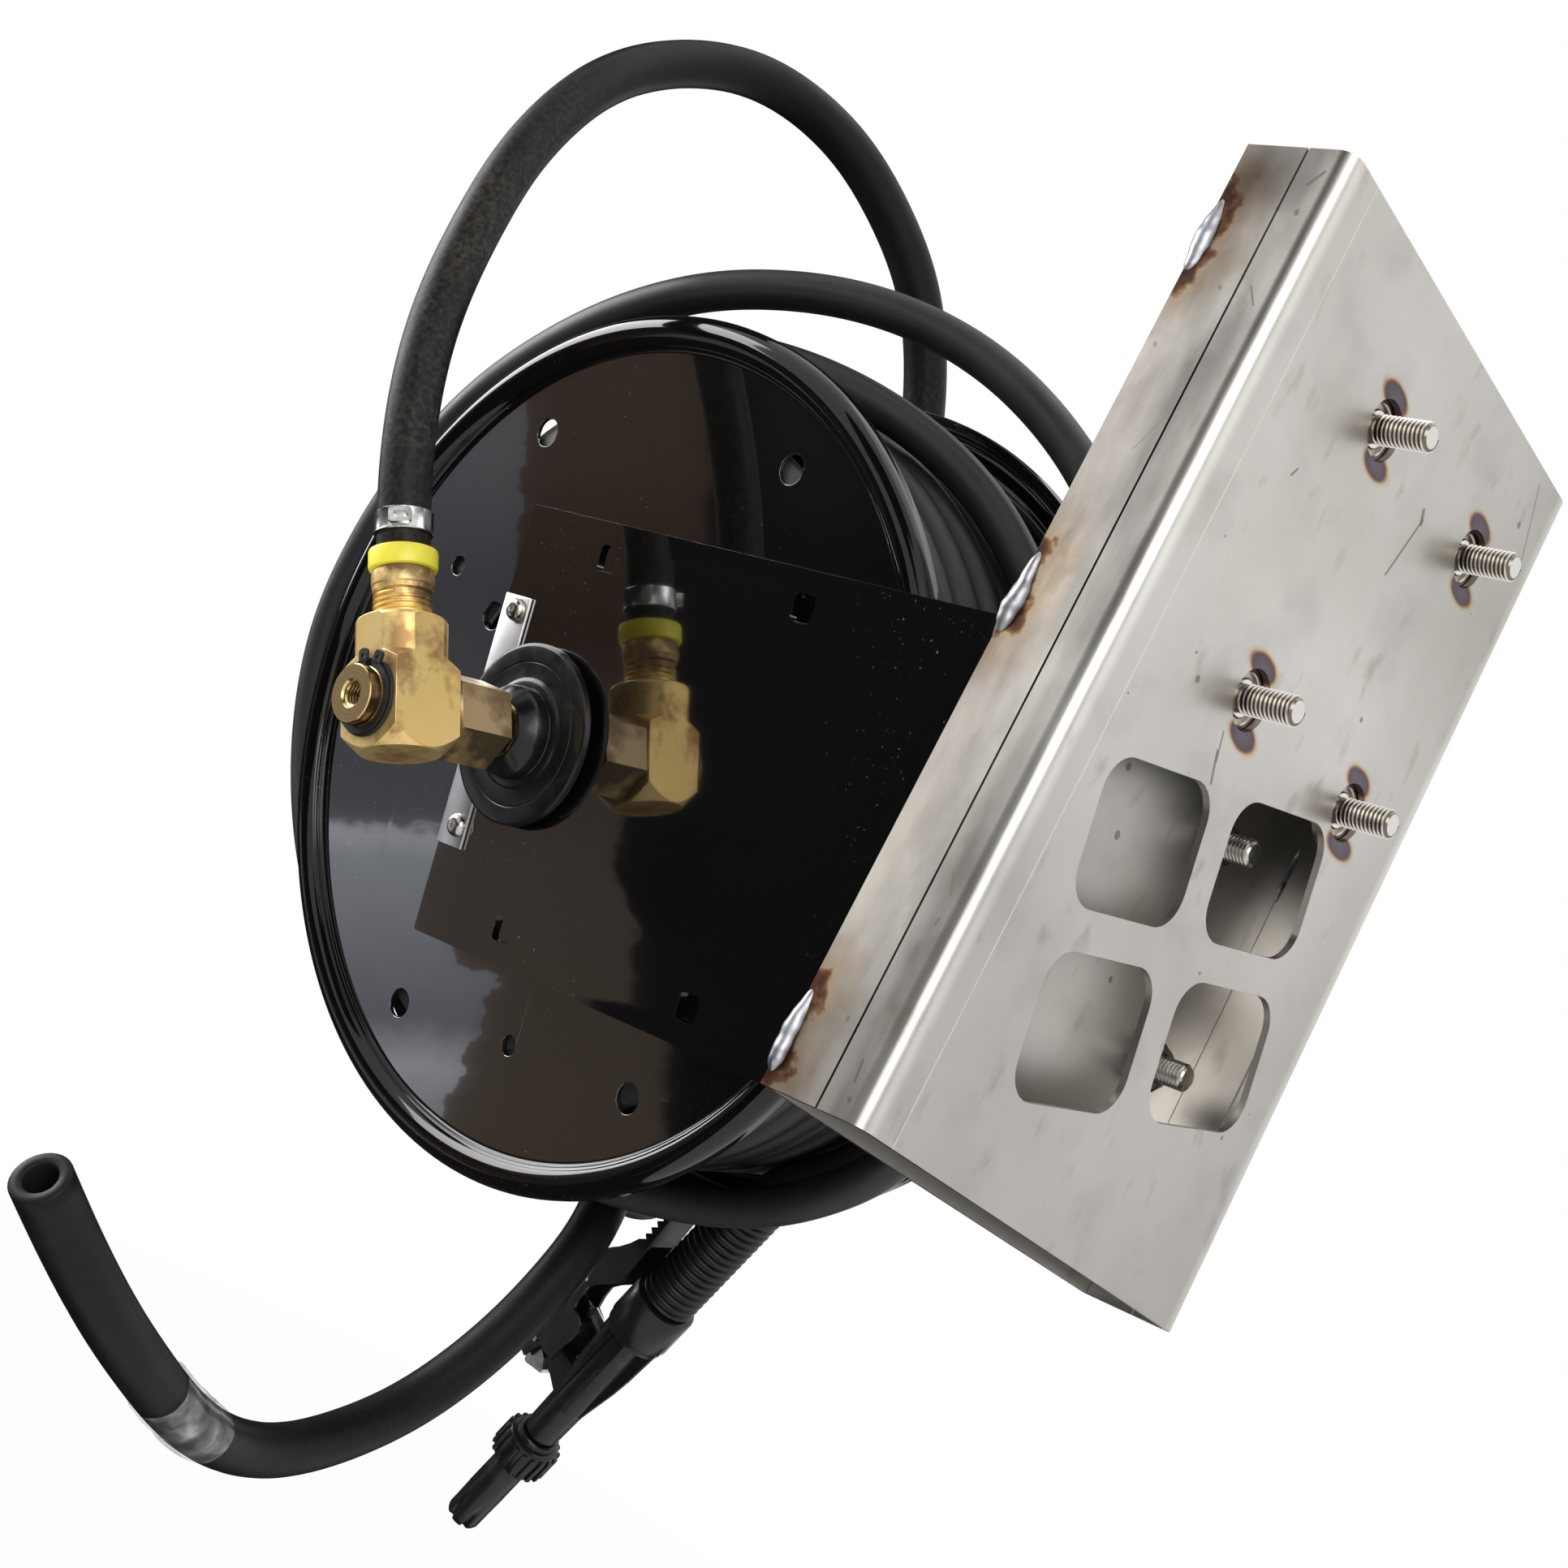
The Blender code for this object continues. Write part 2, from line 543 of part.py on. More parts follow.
def riser():
    """The elbow inside the barrel that leads water from the axle to the hose."""
    points = [(RISER_A + 3.0, 0, 0), (RISER_A - 14, 0, 0), (RISER_A - 24, 0, 3),
              (RISER_A - 30, 0, 10), (RISER_A - 32, 0, 20), (RISER_A - 32, 0, 94)]
    tube("outlet_elbow", points, 7.5, 2, BRASS, SPOOL)


RISER_A = DISC_FACE - DISC_WALL - FIT_GAP - 8.0 - FIT_GAP - 3.0


def main_spring():
    """The flat spiral spring that winds the hose in, between the arbor and the case."""
    turns, count, half = 5, 14, 0.8
    inner, outer = ARBOR_RADIUS + 3.0 + half, 84.0
    path = []
    for step in range(turns * count + 1):
        around = 2 * math.pi * step / count
        path.append((inner + (outer - inner) * step / (turns * count), around))
    out = [((r + half) * math.cos(t), (r + half) * math.sin(t)) for r, t in path]
    back = [((r - half) * math.cos(t), (r - half) * math.sin(t)) for r, t in reversed(path)]
    flat("main_spring", [out + back], 28, SPRING_STEEL, SPOOL, (27, 0, 0), SKETCH_ON_YZ)


def ratchet():
    """The toothed wheel on the far disc, and the pawl that drops into it."""
    teeth, root, tip = 16, 52.0, 60.0
    outline = []
    for tooth in range(teeth):
        start = 360 / teeth * tooth
        for turn, radius in ((start, root), (start + 4, tip), (start + 14, tip - 3)):
            around = math.radians(turn)
            outline.append((radius * math.cos(around), radius * math.sin(around)))
    bore = arc((0, 0), 24, 0, 345, 23)
    middle = RATCHET_OUT + 2.0
    flat("ratchet_wheel", [outline, bore], 4, STUD_STEEL, SPOOL, (middle, 0, 0), SKETCH_ON_YZ)
    pivot = frame_empty("pawl_axis", (0, AXIS_Y + PAWL_Y, AXIS_M + PAWL_M), (0, 0, 0),
                        REEL_FRAME)
    eye = arc((0, 0), 4.3, 0, 330, 11)
    body = arc((0, 0), 9.0, 20, 300, 9) + [(18.0, -9.5), (26.0, -10.0), (27.0, -7.0), (20.0, -3.5)]
    flat("ratchet_pawl", [body, eye], 4, STUD_STEEL, pivot, (middle, 0, 0), SKETCH_ON_YZ)


def winding_points():
    """The outer layer: one helix round the drum, its two ends run straight."""
    low = 2 * REEL_MIDDLE - DISC_FACE + DISC_WALL + HOSE_RADIUS + 1.2
    steps = round(WIND_TURNS * LOOP_POINTS)
    points = []
    for step in range(steps + 1):
        turn = 2 * math.pi * step / LOOP_POINTS
        along = low + WIND_PITCH * step / LOOP_POINTS
        points.append(Vector((along, WIND_RADIUS * math.cos(turn), WIND_RADIUS * math.sin(turn))))
    end_turn = 2 * math.pi * steps / LOOP_POINTS
    rise = WIND_PITCH / (2 * math.pi)
    start_way = Vector((rise, 0, WIND_RADIUS)).normalized()
    end_way = Vector((rise, -WIND_RADIUS * math.sin(end_turn),
                      WIND_RADIUS * math.cos(end_turn))).normalized()
    first = points[0] - start_way * 2 * HOSE_RADIUS
    last = points[-1] + end_way * 2 * HOSE_RADIUS
    return [first] + points + [last]


def least_gap(points, radius, skip):
    """The smallest clear distance between stretches of one tube that are not neighbours."""
    smallest = 1e9
    for index, point in enumerate(points):
        for other in points[index + skip:]:
            smallest = min(smallest, (point - other).length - 2 * radius)
    return smallest


def wound_hose():
    points = winding_points()
    print("least gap of the wound hose to itself, mm:",
          round(least_gap(points, HOSE_RADIUS, LOOP_POINTS // 2), 2))
    tube("wound_hose", [tuple(point) for point in points], HOSE_RADIUS, 1, BLACK_RUBBER, SPOOL)


# Inlet: the brass swivel on the axle's end, its push-on fitting and the supply hose

def swivel():
    sleeve = SHAFT_RADIUS + 0.35
    body = block("swivel_body", (2 * SWIVEL_HALF, 2 * SWIVEL_HALF, SWIVEL_TOP - SWIVEL_BOTTOM),
                 (0, 0, (SWIVEL_TOP + SWIVEL_BOTTOM) / 2), BRASS, INLET_FRAME)
    corner = SWIVEL_HALF * math.sqrt(2) + 2
    low = SWIVEL_BOTTOM - 1
    profile = [(0, SWIVEL_TOP + 1), (17.6, SWIVEL_TOP + 0.4), (19.0, SWIVEL_TOP - 1.4),
               (19.0, 19.0), (corner - 2, 14.4), (corner, 12.7), (corner, low + corner - 15.8),
               (15.8, low), (0, low)]
    boolean(body, turned("swivel_turning", profile, None, INLET_FRAME, (0, 0, 0), (0, 0, 0),
                         steps=32), "INTERSECT")
    boolean(body, prism("swivel_bore_cutter", sleeve, 60, 24, None, INLET_FRAME, (0, 0, 0),
                        ALONG_X))
    boolean(body, prism("swivel_thread_cutter", 11.8, 20, 20, None, INLET_FRAME, (0, 0, 36),
                        (0, 0, 0)))
    boolean(body, prism("swivel_port_cutter", 5.0, 20, 12, None, INLET_FRAME, (0, 0, 20)))

    block_face = SWIVEL_A + SWIVEL_HALF
    hex_end = SWIVEL_A - SWIVEL_HALF - FIT_GAP
    collar = AXLE_END + FIT_GAP
    profile = [(0, 252.0), (5.2, 255.0), (5.2, 266.7), (5.9, 267.3), (SHAFT_RADIUS - 0.6, 267.3),
               (SHAFT_RADIUS, 266.7), (SHAFT_RADIUS, hex_end - 2), (11.0, hex_end - 2),
               (11.0, collar), (5.9, collar), (5.9, 160.0), (0, 160.0)]
    shaft = turned("swivel_shaft", profile, BRASS, SPOOL, (0, 0, 0), steps=24)
    hex_start = BOSS_FRONT + 5.7
    boolean(shaft, prism("swivel_hex", 19.8, hex_end - hex_start, 6, None, SPOOL,
                         ((hex_end + hex_start) / 2, 0, 0), ALONG_X, HEX_TURN), "UNION")
    turned("seal_washer", [(sleeve, block_face + 1.6), (16.4, block_face + 1.6),
                           (16.4, block_face + FIT_GAP), (sleeve, block_face + FIT_GAP)],
           BLACK_PLASTIC, SPOOL, (0, 0, 0), steps=20, ring=True)
    inner, outer = SHAFT_RADIUS + FIT_GAP, 15.6
    ring = arc((0, 0), outer, 106, 448, 16) + arc((0, 0), inner, 448, 106, 16)
    flat("retaining_ring", [ring], 1.4, SPRING_STEEL, SPOOL,
         (block_face + 1.6 + FIT_GAP + 0.7, 0, 0), SKETCH_ON_YZ)


HEX_TURN = math.radians(26.0)


def inlet_fitting():
    profile = [(6.0, 66.2), (8.4, 66.2), (8.4, 57.3), (13.0, 57.3), (13.0, 49.5), (11.3, 48.8),
               (11.3, 27.0), (6.0, 27.0)]
    turned("barb_fitting", profile, BRASS, INLET_FRAME, (0, 0, 0), (0, 0, 0), steps=20, ring=True)
    turned("yellow_ring", [(8.7, 66.2), (14.4, 66.2), (14.6, 65.2), (14.6, 58.6), (14.0, 57.6),
                           (8.7, 57.6)],
           YELLOW_PLASTIC, INLET_FRAME, (0, 0, 0), (0, 0, 0), steps=20, ring=True)
    inner = SUPPLY_RADIUS + 2 * FIT_GAP
    clamp = turned("ear_clamp", [(inner, 82.5), (inner + 0.9, 82.5), (inner + 0.9, 73.5),
                                 (inner, 73.5)],
                   ALUMINIUM, INLET_FRAME, (0, 0, 0), (0, 0, 0), steps=24, ring=True)
    ear = block("clamp_ear_shape", (4.0, 9.0, 8.0), (10.0, 9.3, 78.0), None, INLET_FRAME,
                (0, 0, math.radians(43)), bevel=0.8)
    boolean(clamp, ear, "UNION")


# The supply hose: off the ring, over the reel, down behind the far upright and out in front
SUPPLY_ROUTE = [
    (241, -306.2, -78.4), (241, -310.0, -69.5), (241, -318, -51), (238.2, -331.1, -14.2),
    (229.7, -343.5, 21.4), (213.5, -356.1, 61), (186.7, -369.8, 111.6), (144.6, -381.7, 158.2),
    (92, -388, 187.3), (42, -383, 198), (-4.4, -367.6, 185.1), (-38.9, -354.1, 157.8),
    (-62.3, -343.7, 128.1), (-78, -338, 92), (-88, -334, 45), (-93, -331, -15), (-93, -328, -80),
    (-90, -324, -145), (-82, -318, -210), (-70, -314, -265), (-55, -311, -316), (-32, -308, -346),
    (-4, -298, -351), (18, -290, -345), (44, -278, -338), (60.4, -263.2, -354.3),
    (80.7, -263.8, -385.4), (96.7, -264.8, -405.4), (119.5, -265.5, -425.7), (143, -267, -442),
    (179, -263, -452), (217, -256, -454), (256, -244, -443), (292, -229, -423),
    (323, -215, -400), (345, -207, -382), (362, -203, -366), (379, -200, -348),
    (393, -196, -333), (405, -192, -320)]

# The slack: one loose turn on the winding, one loose loop above it, then down to the gun
SLACK_ROUTE = [
    (112, 112), (95, 104), (78, 84), (62, 62), (46, 52), (28, 49), (10, 50), (-8, 51), (-24, 52),
    (-38, 52), (-50, 52), (-62, 53), (-74, 60), (-86, 76), (-98, 94), (-112, 108), (-130, 116),
    (-150, 119.5), (-168, 120.5), (-184, 121), (-199, 121.5), (-213, 121.5), (-227, 120),
    (-243, 115), (-256, 106), (-266, 94), (-277, 78), (-288, 62), (-300, 50), (-314, 41),
    (-330, 35), (-346, 31), (-362, 29), (-378, 28), (-392, 28), (-405, 28), (-416, 29)]
SLACK_RADII = [
    191.5, 191.5, 191.5, 191.5, 192, 193, 197, 203, 210,
    211, 206, 200.5, 195, 191.5, 191.5, 192, 196,
    206, 217, 223.5, 219.5, 215, 213,
    213.5, 218.5, 223.5, 229, 232.5, 233.5, 232.5,
    228, 220, 211, 202, 195, 191.5, 191.5]


def slack_points():
    points = []
    for (angle, along), radius in zip(SLACK_ROUTE, SLACK_RADII):
        around = math.radians(angle)
        points.append((along, AXIS_Y + radius * math.cos(around),
                       AXIS_M + radius * math.sin(around)))
    return points + [gun_station(-30.0), gun_station(-12.0)]


def gun_station(height):
    """A point on the gun's own axis, at a height in the gun's frame."""
    return (GUN_A, GUN_Y - height * math.sin(GUN_TILT), GUN_M + height * math.cos(GUN_TILT))


def free_hoses():
    route, length = smooth_route(SUPPLY_ROUTE, 2.2 * 2 * SUPPLY_RADIUS)
    print("supply hose length, mm:", round(length))
    tube("inlet_hose", route, SUPPLY_RADIUS, 3, BLACK_RUBBER, REEL_FRAME)
    route, length = smooth_route(slack_points(), 2.4 * 2 * HOSE_RADIUS)
    print("slack hose length, mm:", round(length))
    print("least gap of the slack hose to itself, mm:",
          round(least_gap(route, HOSE_RADIUS, 8), 2))
    route.append(gun_station(60.5))
    tube("slack_hose", route, HOSE_RADIUS, 2, BLACK_RUBBER, REEL_FRAME)


# Wash gun on the hose's end: bend protector, body, thumb lever, valve stem, nut and nozzle

RIB_COUNT, RIB_PITCH = 17, 4.2


def bend_protector():
    """A ribbed rubber sleeve, its ribs turned with the sleeve and its bore open."""
    bore = HOSE_RADIUS + FIT_GAP
    start = 61.0
    outer = [(12.2, start)]
    for rib in range(RIB_COUNT):
        top = start - RIB_PITCH * rib
        outer += [(14.2, top - 0.9), (14.2, top - 2.4), (12.2, top - 3.2)]
    end = start - RIB_PITCH * RIB_COUNT
    outer += [(11.8, end)]
    profile = [(bore, start)] + outer + [(bore, end)]
    turned("bend_protector", profile, BLACK_RUBBER, GUN_FRAME, (0, 0, 0), (0, 0, 0),
           steps=14, ring=True)


PIVOT_Y, PIVOT_Z = 32.8, 135.0
LEVER_HALF, LEVER_CHEEK = 9.0, 1.8
STEM_Z = 104.0


def gun():
    profile = [(6.0, 165.0), (8.9, 165.0), (9.3, 160.0), (9.8, 138.0), (13.4, 118.0),
               (14.6, 106.0), (15.4, 88.0), (16.4, 82.0), (16.4, 61.6), (6.0, 61.6)]
    body = turned("gun_body", profile, BLACK_PLASTIC, GUN_FRAME, (0, 0, 0), (0, 0, 0),
                  steps=20, ring=True)
    outline = [(8.2, 146), (9.1, 144.8), (17, 142.2), (30, 141.8), (35.6, 139.5), (35.9, 132),
               (31, 129), (24, 128), (10.8, 127.8), (7, 126)]
    leg = flat("gun_leg_shape", [outline], 6.0, None, GUN_FRAME, (0, 0, 0), SKETCH_ON_YZ)
    boolean(body, leg, "UNION")
    boolean(body, prism("pivot_cutter", 2.0, 40, 10, None, GUN_FRAME, (0, PIVOT_Y, PIVOT_Z),
                        ALONG_X))
    boolean(body, prism("stem_cutter", 3.6, 20, 12, None, GUN_FRAME, (0, 14, STEM_Z),
                        ALONG_Y))
    trigger_pin()
    lever_and_stem()
    nozzle()


def trigger_pin():
    """The pin through the lever's cheeks and the leg, with the yoke it carries."""
    outline = [(31.5, 150), (29.8, 150.2), (19.5, 144.9), (20, 143), (24, 139), (29.5, 137),
               (30, 131.5), (35.5, 131.5), (35.5, 139), (33.5, 146)]
    yoke = flat("trigger_pin", [outline], 11.2, STUD_STEEL, GUN_FRAME, (0, 0, 0), SKETCH_ON_YZ)
    boolean(yoke, block("leg_slot_cutter", (6.6, 60, 30), (0, 30, 142.6 - 15), None, GUN_FRAME))
    boolean(yoke, prism("pin_shape", 1.6, 2 * LEVER_HALF + 2.4, 10, None, GUN_FRAME,
                        (0, PIVOT_Y, PIVOT_Z), ALONG_X), "UNION")


def lever_and_stem():
    """The thumb lever, a channel over the leg with a serrated pad at its free end."""
    pivot = frame_empty("lever_axis", (0, PIVOT_Y, PIVOT_Z), (0, 0, 0), GUN_FRAME)
    outline = [(36.4, 146), (31.2, 146.8), (30.5, 141), (28.3, 134.4), (21.5, 133.8),
               (18.5, 133.3), (18.7, 124.9), (18, 109.7), (19.5, 107.5), (25.1, 106.5),
               (29, 106.1), (31.1, 93.1), (19.4, 75.3), (22.3, 36.1), (23, 27.5), (26.5, 26.5)]
    for tooth in range(5):
        outline += [(27.6, 29.6 + 4.6 * tooth), (24.3, 31.9 + 4.6 * tooth)]
    outline += [(28.4, 52.8), (30.3, 58.5), (33.5, 65.1), (38.4, 72.4), (38.6, 90)]
    inside = [(10, 152), (45, 152), (45, 127), (35.9, 127), (36.4, 90), (36.3, 75), (31.6, 66.4),
              (28, 59), (25.5, 53), (19, 50), (10, 50)]
    about_pivot = [[(y - PIVOT_Y, z - PIVOT_Z) for y, z in points]
                   for points in (outline, inside)]
    lever = flat("thumb_lever", [about_pivot[0]], 2 * LEVER_HALF, BLACK_PLASTIC, pivot,
                 (0, 0, 0), SKETCH_ON_YZ)
    boolean(lever, flat("lever_inside_cutter", [about_pivot[1]],
                        2 * (LEVER_HALF - LEVER_CHEEK), None, pivot, (0, 0, 0), SKETCH_ON_YZ))
    boolean(lever, prism("lever_pin_cutter", 2.0, 40, 10, None, pivot, (0, 0, 0), ALONG_X))
    stem = [(0, 35.6), (1.6, 35.6), (1.6, 26.0), (3.2, 25.0), (3.2, 12.5), (0, 12.5)]
    turned("valve_stem", stem, STUD_STEEL, GUN_FRAME, (0, 0, STEM_Z), ALONG_Y, steps=12)


def nozzle():
    profile = [(8.9, 186.0), (14.0, 186.0), (15.4, 184.0), (15.4, 171.0), (14.0, 169.0),
               (11.0, 169.0), (11.0, 165.5), (8.9, 165.5)]
    turned("spray_nut", profile, BLACK_PLASTIC, GUN_FRAME, (0, 0, 0), (0, 0, 0),
           steps=20, ring=True)
    profile = [(4.0, 233.5), (7.4, 233.5), (9.3, 231.0), (9.2, 188.4), (8.5, 186.4), (8.5, 170.0),
               (8.0, 165.5), (4.0, 165.5)]
    turned("nozzle_tip", profile, BLACK_PLASTIC, GUN_FRAME, (0, 0, 0), (0, 0, 0), steps=16,
           ring=True)


box_channel()
box_back()
for side, edge in ((1, BOX_NEAR), (-1, BOX_FAR)):
    for number, height in enumerate((82.0, -79.0, -260.0), 1):
        weld_bead(f"weld_bead_{'near' if side > 0 else 'far'}_{number}", edge,
                  height, side)
for number, (x, z) in enumerate(((STUD_X, STUD_Z), (-STUD_X, STUD_Z), (STUD_X, -STUD_Z),
                                 (-STUD_X, -STUD_Z)), 1):
    mounting_stud(f"mounting_stud_{number}", x, z)
uprights()
for number, (a, m) in enumerate(base_bolt_places(), 1):
    base_fastener(number, a, m)
bearing_parts()
arbor_and_pawl()
spool_body()
main_spring()
ratchet()
wound_hose()
swivel()
inlet_fitting()
free_hoses()
bend_protector()
gun()
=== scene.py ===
"""Looks for the wall hose reel: a stainless box with studs, a black reel, its hoses and gun."""
import math

import bmesh
import bpy
from mathutils import Matrix, Vector, noise


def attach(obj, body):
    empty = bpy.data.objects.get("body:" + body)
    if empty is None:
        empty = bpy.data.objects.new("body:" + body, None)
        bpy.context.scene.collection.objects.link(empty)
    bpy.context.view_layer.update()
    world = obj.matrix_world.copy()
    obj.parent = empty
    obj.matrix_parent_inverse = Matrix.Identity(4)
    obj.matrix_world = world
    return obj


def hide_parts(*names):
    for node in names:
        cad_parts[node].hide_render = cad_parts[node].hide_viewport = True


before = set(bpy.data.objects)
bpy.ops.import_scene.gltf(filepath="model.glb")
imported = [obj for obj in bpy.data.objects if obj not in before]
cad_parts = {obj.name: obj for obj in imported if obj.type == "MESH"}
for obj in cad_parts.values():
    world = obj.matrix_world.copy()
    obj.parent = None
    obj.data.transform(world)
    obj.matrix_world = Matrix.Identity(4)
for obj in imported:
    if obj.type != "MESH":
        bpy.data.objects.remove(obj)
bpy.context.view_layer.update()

# Camera. It hangs low on the inlet side and looks up along the reel, rolled with the
# photograph, so that the box's outer face and the near disc both show.
MM = 0.001
REEL = Matrix.Rotation(math.radians(17.5), 4, "Y")

camera = bpy.data.objects.new("camera", bpy.data.cameras.new("camera"))
bpy.context.scene.collection.objects.link(camera)
camera_axes = Matrix(((-0.53887, 0.70501, 0.46106),
                      (0.44226, -0.22906, 0.86714),
                      (0.71696, 0.67119, -0.18836))).transposed().to_4x4()
camera.matrix_world = Matrix.Translation((0.80509, 0.50941, -0.34971)) @ camera_axes
camera.data.sensor_width = 36.0
camera.data.lens = 55.78
bpy.context.scene.camera = camera
bpy.context.scene.view_settings.view_transform = "Standard"


# Supply hose. A rubber hose of 22.6 mm outside and half-inch bore, pushed on the brass barb,
# looped over the reel and down behind it, its cut end left bare. It is 1.57 m long.
SUPPLY_RADIUS = 11.3 * MM
SUPPLY_ROUTE = [
    (241, -306.2, -78.4), (241, -310.0, -69.5), (241, -318, -51), (238.2, -331.1, -14.2),
    (229.7, -343.5, 21.4), (213.5, -356.1, 61), (186.7, -369.8, 111.6), (144.6, -381.7, 158.2),
    (92, -388, 187.3), (42, -383, 198), (-4.4, -367.6, 185.1), (-38.9, -354.1, 157.8),
    (-62.3, -343.7, 128.1), (-78, -338, 92), (-88, -334, 45), (-93, -331, -15), (-93, -328, -80),
    (-90, -324, -145), (-82, -318, -210), (-70, -314, -265), (-55, -311, -316), (-32, -308, -346),
    (-4, -298, -351), (18, -290, -345), (44, -278, -338), (60.4, -263.2, -354.3),
    (80.7, -263.8, -385.4), (96.7, -264.8, -405.4), (119.5, -265.5, -425.7), (143, -267, -442),
    (179, -263, -452), (217, -256, -454), (256, -244, -443), (292, -229, -423),
    (323, -215, -400), (345, -207, -382), (362, -203, -366), (379, -200, -348),
    (393, -196, -333), (405, -192, -320)]


def on_reel(across, out, up):
    """A point given in millimetres along the reel's own axes, in the row frame."""
    return REEL @ (Vector((across, out, up)) * MM)


def smooth_route(knots, spacing):
    """Points at one spacing along a smooth curve through given points."""
    knots = [2 * knots[0] - knots[1]] + list(knots) + [2 * knots[-1] - knots[-2]]
    dense = []
    for before, start, end, after in zip(knots, knots[1:], knots[2:], knots[3:]):
        for step in range(20):
            t = step / 20
            dense.append(0.5 * (2 * start + (end - before) * t
                                + (2 * before - 5 * start + 4 * end - after) * t ** 2
                                + (3 * start - before - 3 * end + after) * t ** 3))
    dense.append(knots[-2])
    total = sum((b - a).length for a, b in zip(dense, dense[1:]))
    count = round(total / spacing)
    route, travelled, target = [dense[0]], 0.0, total / count
    for first, second in zip(dense, dense[1:]):
        length = (second - first).length
        while travelled + length >= target - 1e-12 and len(route) < count:
            route.append(first.lerp(second, (target - travelled) / length))
            target += total / count
        travelled += length
    route.append(dense[-1])
    return route, total


def relaxed(route, passes):
    """The route with its small wobbles averaged out, its ends kept."""
    for _ in range(passes):
        inner = [(a + 2 * b + c) / 4 for a, b, c in zip(route, route[1:], route[2:])]
        route = [route[0]] + inner + [route[-1]]
    return route


def evaluated_mesh(holder):
    """A new mesh of an object as its curve or modifiers make it."""
    bpy.context.view_layer.update()
    return bpy.data.meshes.new_from_object(
        holder.evaluated_get(bpy.context.evaluated_depsgraph_get()))


def shape_of_curve(curve, merge):
    """The shape that a curve makes, its doubled points merged."""
    holder = bpy.data.objects.new(curve.name, curve)
    bpy.context.scene.collection.objects.link(holder)
    mesh = evaluated_mesh(holder)
    bpy.data.objects.remove(holder)
    shape = bmesh.new()
    shape.from_mesh(mesh)
    bpy.data.meshes.remove(mesh)
    bmesh.ops.remove_doubles(shape, verts=shape.verts, dist=merge)
    return shape


def verts_of(items):
    return [item for item in items if isinstance(item, bmesh.types.BMVert)]


def edges_of(items):
    return [item for item in items if isinstance(item, bmesh.types.BMEdge)]


def tube_mesh(name, route, radius, sides, capped):
    """A welded tube mesh along a route."""
    curve = bpy.data.curves.new(name, "CURVE")
    curve.dimensions = "3D"
    curve.bevel_depth = radius
    curve.bevel_resolution = (sides - 4) // 2
    curve.use_fill_caps = capped
    spline = curve.splines.new("POLY")
    spline.points.add(len(route) - 1)
    for point, co in zip(spline.points, route):
        point.co = (*co, 1)
    return shape_of_curve(curve, 0.01 * MM)


def new_object(name, shape, *materials):
    """Put a finished shape into the scene, and free it."""
    mesh = bpy.data.meshes.new(name)
    shape.to_mesh(mesh)
    shape.free()
    for material in materials:
        mesh.materials.append(material)
    made = bpy.data.objects.new(name, mesh)
    bpy.context.scene.collection.objects.link(made)
    return made


def declare(made, body, slot, *nodes):
    """Say which body a piece rides on, and the CAD nodes it stands for. The slot is not used."""
    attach(made, body)
    if nodes:
        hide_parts(*nodes)
    return made


def shade(mesh, sharp):
    """Smooth faces, with hard edges where they meet more sharply than an angle."""
    mesh.shade_smooth()
    mesh.set_sharp_from_angle(angle=math.radians(sharp))


def piece(name, shape, material, body, slot, *nodes, place=None, sharp=35):
    """Make a finished shape one piece of the reel, in place of the CAD nodes it stands for."""
    if place is not None:
        bmesh.ops.transform(shape, matrix=place, verts=shape.verts)
    bmesh.ops.recalc_face_normals(shape, faces=shape.faces)
    made = new_object(name, shape, material)
    shade(made.data, sharp)
    return declare(made, body, slot, *nodes)


